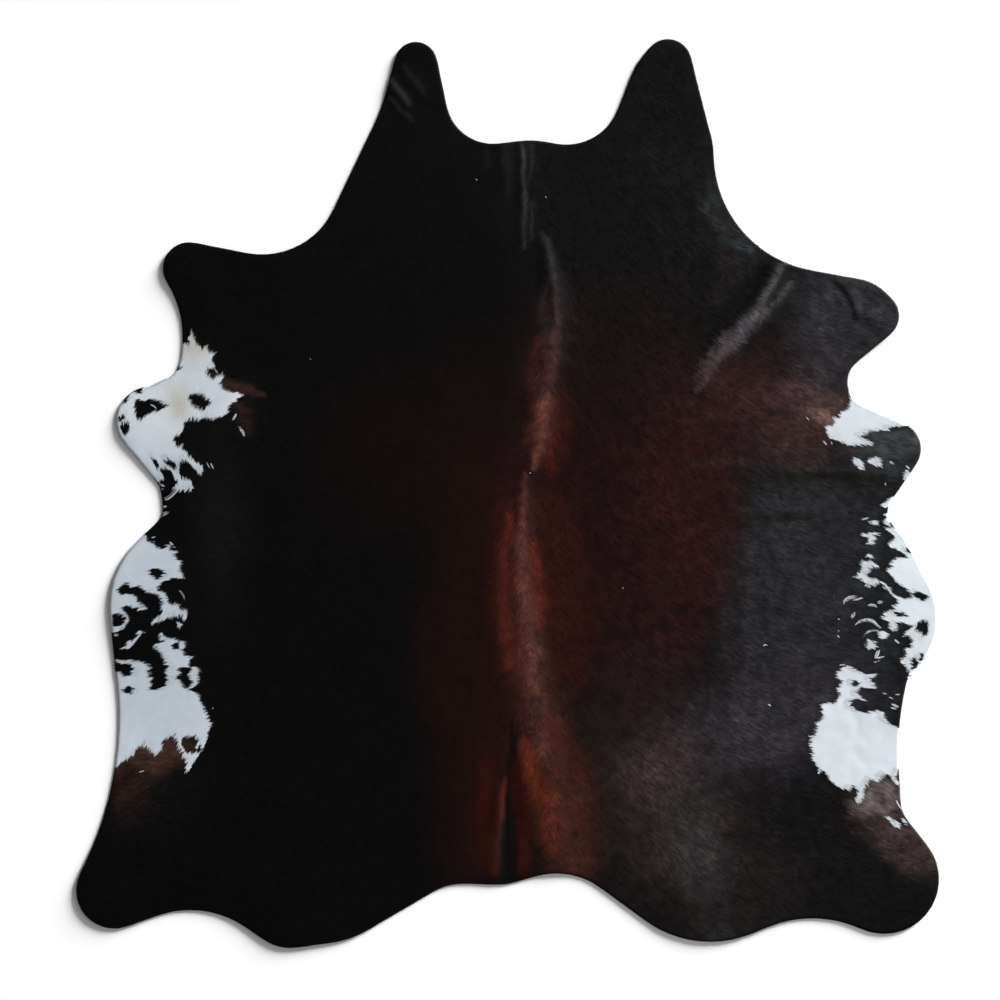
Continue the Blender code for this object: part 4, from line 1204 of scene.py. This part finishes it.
def coat_points(edge):
    """Points of the coat inside its rim: closer together at patches' edges and details."""
    found = []
    for box in patch_boxes(FINE_REACH):
        x, y = triangle_grid(*box, FINE)
        close = np.abs(whiteness(x, y)) < FINE_REACH
        found.append((FINE, x[close], y[close]))
    for step, wanted in ((MEDIUM, True), (COARSE, False)):
        x, y = triangle_grid(edge.ring.min(0), edge.ring.max(0), step)
        keep = detailed(x, y) == wanted
        x, y = x[keep], y[keep]
        clear = np.abs(whiteness(x, y)) > FINE_REACH + 1
        found.append((step, x[clear], y[clear]))
    kept = []
    for step, x, y in found:
        inside = edge.depth(x, y) > -RIM[-1].outward + EDGE_CLEAR * step
        kept.append(np.column_stack((x[inside], y[inside])))
    return np.vstack(kept)


def mesh_object(name, points, faces):
    mesh = bpy.data.meshes.new(name)
    mesh.from_pydata((points * MM).tolist(), [], faces)
    mesh.shade_smooth()
    made = bpy.data.objects.new(name, mesh)
    bpy.context.scene.collection.objects.link(made)
    return made


def triangles(flat, border):
    """Joins points in the plane by triangles, inside the border."""
    inside, merge = 1, 1e-5
    found = delaunay_2d_cdt([Vector(point) for point in flat], border, [], inside, merge)
    placed, faces = found[0], found[2]
    if len(placed) != len(flat):
        raise ValueError("two points of the hide fell together")
    return faces


def closed_run(count):
    """The edges that join this many points in a ring."""
    return [(i, (i + 1) % count) for i in range(count)]


def add_attribute(piece, name, kind, values):
    field = {"FLOAT": "value", "FLOAT_VECTOR": "vector", "FLOAT_COLOR": "color"}[kind]
    attribute = piece.data.attributes.new(name, kind, "POINT")
    attribute.data.foreach_set(field, np.asarray(values, np.float32).ravel())


def add_colour(piece, name, values):
    add_attribute(piece, name, "FLOAT_COLOR", np.column_stack((values, np.ones(len(values)))))


def make_coat(edge, surface):
    """The hair side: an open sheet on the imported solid's folds, its rim bent down over the skin."""
    count = len(edge.ring)
    rings = [edge.ring + row.outward * edge.outward for row in RIM]
    flat = np.vstack((*rings, coat_points(edge)))
    faces = triangles(flat, closed_run(count))
    x, y = flat.T
    depth = edge.depth(x, y)
    depth[:count * len(RIM)] = np.repeat([-row.outward for row in RIM], count)
    coat = mesh_object("coat", np.column_stack((x, y, surface.height(x, y, depth))), faces)

    across, along = hair_field(x, y)
    add_attribute(coat, "hair", "FLOAT_VECTOR", np.column_stack((across, along, 0 * x)) * MM)
    add_attribute(coat, "white", "FLOAT", whiteness(x, y))
    add_attribute(coat, "ruffled", "FLOAT", ruffled(x, y))
    add_colour(coat, "dark_colour_and_painted_light", dark_colour_and_painted_light(x, y))
    add_colour(coat, "white_colour_and_painted_light", white_colour_and_painted_light(x, y))
    coat.data.materials.append(coat_material())
    return coat


def make_skin(edge, relief, points, faces):
    """The tanned skin under the hair: the flesh side on the floor and the trimmed edge."""
    ring, _ = edge_of(points, faces, SKIN_STEP)
    x, y = triangle_grid(ring.min(0), ring.max(0), SKIN_STEP)
    inner = np.column_stack((x, y))[edge.depth(x, y) > SKIN_CLEAR * SKIN_STEP]
    flat = np.vstack((ring, inner))
    border = closed_run(len(ring))
    joined = triangles(flat, border)
    under = np.maximum(0, relief.at(*flat.T) - BEDDING)
    size = len(flat)
    shape = np.vstack([np.column_stack((flat, under + up)) for up in (0, SKIN_SHOWN * SKIN)])
    walls = [(a, b, b + size, a + size) for a, b in border]
    top = [[i + size for i in face] for face in joined]
    bottom = [face[::-1] for face in joined]
    skin = mesh_object("skin", shape, bottom + top + walls)
    skin.data.set_sharp_from_angle(angle=math.radians(SKIN_SHARP))
    skin.data.materials.append(skin_material())
    return skin


# Tufts to be made, each value an array with one row for each of them
Hair = namedtuple("Hair", "roots steps lengths widths bends")


def some_of(hair, which):
    return Hair(*(values[which] for values in hair))


def make_tufts(name, surface, hair, colours):
    """Flat tapered tufts of hair that lie on the coat, each with a root, a middle and a tip."""
    roots, aside = hair.roots, left_of(hair.steps)
    reach = hair.lengths[:, None] * hair.steps
    wide = hair.widths[:, None] * aside / 2
    middle = roots + 0.5 * reach + (hair.bends * hair.lengths)[:, None] * aside
    narrow = TUFT_TAPER * wide
    corners = np.stack((roots + wide, roots - wide, middle - narrow, middle + narrow, roots + reach), 1)
    x, y = corners.reshape(-1, 2).T
    root, half, tip = TUFT_LIFT
    lift = np.tile((root, root, half, half, tip), len(roots))
    faces = []
    for first in range(0, 5 * len(roots), 5):
        faces += [(first, first + 1, first + 2, first + 3), (first + 3, first + 2, first + 4)]
    piece = mesh_object(name, np.column_stack((x, y, surface.height(x, y) + lift)), faces)
    add_colour(piece, "colour", np.repeat(colours, 5, axis=0))
    piece.data.materials.append(bpy.data.materials["cowhide_tufts"])
    return piece


def random_hair(rng, kind, roots):
    """Tufts of this kind at these roots, the way the hair lies there."""
    count = len(roots)
    stray = rng.normal(0, math.radians(TUFT_STRAY), count)[:, None]
    straight = hair_direction(*roots.T)
    steps = np.cos(stray) * straight + np.sin(stray) * left_of(straight)
    lengths, widths = rng.uniform(*kind.length, count), rng.uniform(*kind.width, count)
    return Hair(roots, steps, lengths, widths, rng.normal(0, TUFT_BEND, count))


def edge_tufts(surface, edge):
    """Hair of each colour whose tips lie over the other colour, at the edges of the patches."""
    rng = np.random.default_rng(SEED)
    boxes = list(patch_boxes(EDGE_BAND))
    found = []
    for low, high in boxes:
        roots = rng.uniform(low, high, (EDGE_TUFTS.tries // len(boxes), 2))
        roots = roots[np.abs(whiteness(*roots.T)) < EDGE_BAND]
        found.append(roots[edge.depth(*roots.T) > RIM_ROOTS[1]])
    hair = random_hair(rng, EDGE_TUFTS, np.vstack(found))
    shade = rng.uniform(*EDGE_SHADE, len(hair.roots))
    at_root = whiteness(*hair.roots.T)
    at_tip = whiteness(*(hair.roots + hair.lengths[:, None] * hair.steps).T)
    crosses = (at_root * at_tip < 0) & (np.abs(at_root) > EDGE_NEAR)
    for name, colour_at, colour in (
        ("hair_white", white_colour_and_painted_light, WHITE),
        ("hair_dark", dark_colour_and_painted_light, DARK),
    ):
        which = crosses & (at_root * colour > 0)
        some = some_of(hair, which)
        yield make_tufts(name, surface, some, colour_at(*some.roots.T) * shade[which][:, None])


def rim_tufts(surface, edge):
    """Hair that stands a little past the cut edge where it points outward."""
    rng = np.random.default_rng(SEED + 1)
    nearest = rng.integers(0, len(edge.ring), RIM_TUFTS.tries)
    along = rng.uniform(-0.5, 0.5, len(nearest)) * RIM_STEP
    out = edge.outward[nearest]
    inward = rng.uniform(*RIM_ROOTS, len(nearest))
    roots = edge.ring[nearest] + along[:, None] * left_of(out) - inward[:, None] * out
    hair = random_hair(rng, RIM_TUFTS, roots)
    outward = (hair.steps * out).sum(1)
    steps = unit(hair.steps + np.maximum(RIM_TURN - outward, 0)[:, None] * out)
    past = (steps * out).sum(1) * hair.lengths - inward
    shorter = np.where(past > RIM_PAST, (RIM_PAST + inward) / (past + inward), 1)
    hair = some_of(hair._replace(steps=steps, lengths=hair.lengths * shorter), outward > RIM_SHOWN)
    colours = hair_colour_and_painted_light(*hair.roots.T, whiteness(*hair.roots.T) > 0)
    return make_tufts("hair_rim", surface, hair, colours)


def ruffled_tufts(surface, edge):
    """Tufts that stand out of the ruffled dark hair, lighter or darker than what is round them."""
    rng = np.random.default_rng(SEED + 2)
    roots = rng.uniform(edge.ring.min(0), edge.ring.max(0), (RUFFLED_TUFTS.tries, 2))
    roots = roots[rng.uniform(0, 1, len(roots)) < ruffled(*roots.T) ** RUFFLED_POWER]
    longest = RUFFLED_TUFTS.length[1]
    inside = edge.depth(*roots.T) > longest + RUFFLED_CLEAR
    hair = random_hair(rng, RUFFLED_TUFTS, roots[inside & (whiteness(*roots.T) < -longest)])
    shade = np.exp(rng.normal(0, RUFFLED_SHADE, len(hair.roots)))
    return make_tufts("hair_ruffled", surface, hair, dark_colour_and_painted_light(*hair.roots.T) * shade[:, None])


def wisp_tufts(surface):
    """A few single hairs of one colour over the other, along each wisp's line."""
    rng = np.random.default_rng(SEED + 3)
    roots, tips, widths, white = [], [], [], []
    least_hairs, least_pieces = WISP_LEAST
    for wisp in WISPS:
        line = np.array(wisp.points, float)
        stations = stations_of(line)
        pieces = max(least_pieces, math.ceil(stations[-1] / WISP_PIECE))
        for _ in range(max(least_hairs, round(WISP_HAIRS * wisp.half_width))):
            start, end = rng.uniform(*WISP_STARTS), rng.uniform(*WISP_ENDS)
            at = np.linspace(start, end, pieces + 1)
            place = np.column_stack([np.interp(at * stations[-1], stations, row) for row in line.T])
            bulge = np.sin(math.pi * (WISP_ROUND[0] + WISP_ROUND[1] * at))
            aside = rng.uniform(-1, 1) * wisp.half_width * bulge
            place += aside[:, None] * left_of(unit(np.gradient(place, axis=0)))
            roots.append(place[:-1])
            tips.append(place[:-1] + WISP_OVERLAP * np.diff(place, axis=0))
            widths.append(np.full(pieces, rng.uniform(*WISP_WIDTH)))
            white.append(np.full(pieces, wisp.colour == WHITE))
    roots = np.vstack(roots)
    reach = np.vstack(tips) - roots
    bends = np.zeros(len(roots))
    hair = Hair(roots, unit(reach), np.hypot(*reach.T), np.concatenate(widths), bends)
    return make_tufts("hair_wisps", surface, hair, hair_colour_and_painted_light(*roots.T, np.concatenate(white)))


class Graph:
    """The nodes of a material or of the world, added and joined a few words at a time."""

    def __init__(self, owner):
        owner.use_nodes = True
        self.owner = owner
        self.nodes, self.links = owner.node_tree.nodes, owner.node_tree.links

    def put(self, socket, value):
        if isinstance(value, bpy.types.NodeSocket):
            self.links.new(value, socket)
        else:
            socket.default_value = value

    def add(self, kind, inputs=(), **settings):
        """A new node. Its inputs are values or other nodes' outputs, by name or in a row."""
        node = self.nodes.new("ShaderNode" + kind)
        for name, value in settings.items():
            setattr(node, name, value)
        pairs = inputs.items() if isinstance(inputs, dict) else enumerate(inputs)
        for key, value in pairs:
            self.put(node.inputs[key], value)
        return node

    def math(self, operation, *inputs):
        return self.add("Math", inputs, operation=operation).outputs[0]

    def times(self, first, *others):
        for other in others:
            first = self.math("MULTIPLY", first, other)
        return first

    def attribute(self, name, output):
        return self.add("Attribute", attribute_name=name).outputs[output]

    def place(self):
        return self.add("TexCoord").outputs["Object"]

    def noise(self, vector, size, detail=2.0, bend=0.0):
        """Noise whose patches are about this many millimetres across."""
        return self.add("TexNoise", {
            "Vector": vector, "Scale": 1 / (size * MM), "Detail": detail, "Distortion": bend,
        }, noise_dimensions="3D").outputs["Fac"]

    def hair_noise(self, size, shift=0.0):
        """Noise drawn out along the hair. size is its width and length in millimetres."""
        stretch = (1 / (size[0] * MM), 1 / (size[1] * MM), 1.0)
        hair = self.attribute("hair", "Vector")
        moved = self.add("Mapping", {"Vector": hair, "Scale": stretch, "Location": (0, 0, shift)})
        return self.noise(moved.outputs[0], 1 / MM, bend=0.5)

    def ramp(self, value, low, high, to_low=0.0, to_high=1.0, smooth=False):
        kind = "SMOOTHSTEP" if smooth else "LINEAR"
        limits = (value, low, high, to_low, to_high)
        return self.add("MapRange", limits, interpolation_type=kind).outputs[0]

    def around_one(self, value, swing):
        """A noise turned into a factor that swings this far to both sides of 1."""
        centred = self.math("SUBTRACT", value, 0.5)
        return self.math("ADD", self.times(centred, swing), 1.0)

    def mix(self, share, first, second):
        node = self.add("Mix", data_type="RGBA")
        for socket, value in ((0, share), (6, first), (7, second)):
            if isinstance(value, tuple):
                value = (*value, 1.0)
            self.put(node.inputs[socket], value)
        return node.outputs[2]

    def scaled(self, colour, amount):
        return self.add("VectorMath", {0: colour, 3: amount}, operation="SCALE").outputs[0]

    def bump(self, height, distance, strength):
        """A bump whose greatest height is this many millimetres."""
        inputs = {"Height": height, "Distance": distance * MM, "Strength": strength}
        return self.add("Bump", inputs).outputs[0]

    def shaded(self, colour, matt, shine, normal=None):
        """The material, with these joined to its shader."""
        inputs = self.nodes["Principled BSDF"].inputs
        self.put(inputs["Base Color"], colour)
        self.put(inputs["Roughness"], matt)
        self.put(inputs["Specular IOR Level"], shine)
        if normal is not None:
            self.put(inputs["Normal"], normal)
        return self.owner


def coat_material():
    graph = Graph(bpy.data.materials.new("cowhide_coat"))
    rough = graph.attribute("ruffled", "Fac")
    strand = graph.hair_noise(STRAND.size)
    lock = graph.hair_noise(LOCK.size, shift=3.0)
    blotch = graph.noise(graph.place(), BLOTCH.size, bend=0.4)
    cloud = graph.noise(graph.place(), CLOUD.size, detail=3.0)

    # The edge of a patch, with single hairs that reach a little over it
    jag = graph.ramp(strand, *STRAND_MIDDLE, -EDGE_REACH, EDGE_REACH)
    white = graph.math("ADD", graph.attribute("white", "Fac"), jag)
    white = graph.ramp(white, -EDGE_SOFT, EDGE_SOFT, smooth=True)

    # The hair's colours, with the painted sheen, highlights and shade laid into them
    dark = graph.attribute("dark_colour_and_painted_light", "Color")
    pale = graph.attribute("white_colour_and_painted_light", "Color")
    for row, noise in ((STRAND, strand), (LOCK, lock), (BLOTCH, blotch), (CLOUD, cloud)):
        swing = graph.ramp(rough, 0, 1, row.smooth, row.ruffled)
        dark = graph.scaled(dark, graph.around_one(noise, swing))
        pale = graph.scaled(pale, graph.around_one(noise, row.white))

    matt = graph.ramp(rough, 0, 1, MATT_SMOOTH, MATT_RUFFLED)
    matt = graph.math("ADD", matt, graph.ramp(strand, *STRAND_MIDDLE, -MATT_STRAND, MATT_STRAND))
    height = graph.math("ADD", graph.times(strand, STRAND_BUMP), lock)
    height = graph.times(height, graph.ramp(white, 0, 1, 1.0, WHITE_BUMP))
    return graph.shaded(graph.mix(white, dark, pale), matt, HAIR_SHINE, graph.bump(height, *HAIR_BUMP))


def tuft_material():
    graph = Graph(bpy.data.materials.new("cowhide_tufts"))
    shade = graph.around_one(graph.noise(graph.place(), TUFT_FIBRE, detail=1.0), TUFT_SWING)
    colour = graph.scaled(graph.attribute("colour", "Color"), shade)
    return graph.shaded(colour, TUFT_MATT, HAIR_SHINE)


def skin_material():
    graph = Graph(bpy.data.materials.new("flesh_side"))
    nap = graph.noise(graph.place(), NAP)
    cloud = graph.noise(graph.place(), FLESH_CLOUD, detail=5.0)
    shade = graph.times(graph.around_one(nap, NAP_SWING), graph.around_one(cloud, FLESH_SWING))
    colour = graph.scaled(graph.mix(graph.ramp(cloud, *FLESH_FADE), FLESH, FLESH_PALE), shade)
    return graph.shaded(colour, FLESH_MATT, FLESH_SHINE, graph.bump(nap, *NAP_BUMP))


def make_floor():
    sides = ((-1, -1), (1, -1), (1, 1), (-1, 1))
    corners = [(x * FLOOR_HALF, y * FLOOR_HALF, -FLOOR_DROP) for x, y in sides]
    floor = mesh_object("floor", np.array(corners), [(0, 1, 2, 3)])
    graph = Graph(bpy.data.materials.new("pale_floor"))
    floor.data.materials.append(graph.shaded((*FLOOR, 1.0), 1.0, 0.0))
    floor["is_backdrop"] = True


def make_camera():
    data = bpy.data.cameras.new("camera")
    data.lens, data.sensor_width = LENS, SENSOR
    camera = bpy.data.objects.new("camera", data)
    camera.location = (*PICTURE_CENTRE, PICTURE_WIDTH * LENS / SENSOR)
    bpy.context.scene.collection.objects.link(camera)
    bpy.context.scene.camera = camera


def aim_light(light, place):
    """Puts a light at this place, turned towards the middle of the hide."""
    made = bpy.data.objects.new(light.name, light)
    made.location = place
    made.rotation_mode = "QUATERNION"
    made.rotation_quaternion = (-Vector(place)).to_track_quat("-Z", "Y")
    bpy.context.scene.collection.objects.link(made)


def make_lights():
    side, high = (math.radians(angle) for angle in KEY_FROM)
    key = bpy.data.lights.new("key", "SUN")
    key.energy, key.angle = KEY_STRENGTH, math.radians(KEY_SIZE)
    aim_light(key, (math.cos(side) * math.cos(high), math.sin(side) * math.cos(high), math.sin(high)))
    soft = bpy.data.lights.new("side", "AREA")
    soft.energy, soft.size = SIDE_POWER, SIDE_SIZE
    aim_light(soft, SIDE_LIGHT)


def make_sky():
    world = bpy.data.worlds.new("studio")
    bpy.context.scene.world = world
    graph = Graph(world)
    looking = graph.add("TexCoord").outputs["Generated"]
    height = graph.add("SeparateXYZ", (looking,)).outputs["Z"]
    sky = graph.nodes["Background"].inputs
    graph.put(sky["Color"], (1, 1, 1, 1))
    graph.put(sky["Strength"], graph.ramp(height, *SKY_FADE, SKY_RIM, SKY_TOP, smooth=True))


def main():
    make_camera()
    make_floor()
    make_lights()
    make_sky()
    points, faces = packed_hair_side()
    edge = Edge(*edge_of(points, faces, RIM_STEP))
    relief = Relief(points, faces)
    surface = Surface(edge, relief)
    coat = make_coat(edge, surface)
    skin = make_skin(edge, relief, points, faces)
    tuft_material()
    hair = [
        *edge_tufts(surface, edge), rim_tufts(surface, edge), ruffled_tufts(surface, edge),
        wisp_tufts(surface),
    ]
    for piece in (coat, skin, *hair):
        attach(piece, "root")
    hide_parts("hide")
    bpy.context.scene.view_settings.view_transform = "Standard"


main()
boxes = {"cad": CAD_BOX, "visual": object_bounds()}
{name: [list(corner) for corner in box] for name, box in boxes.items()}
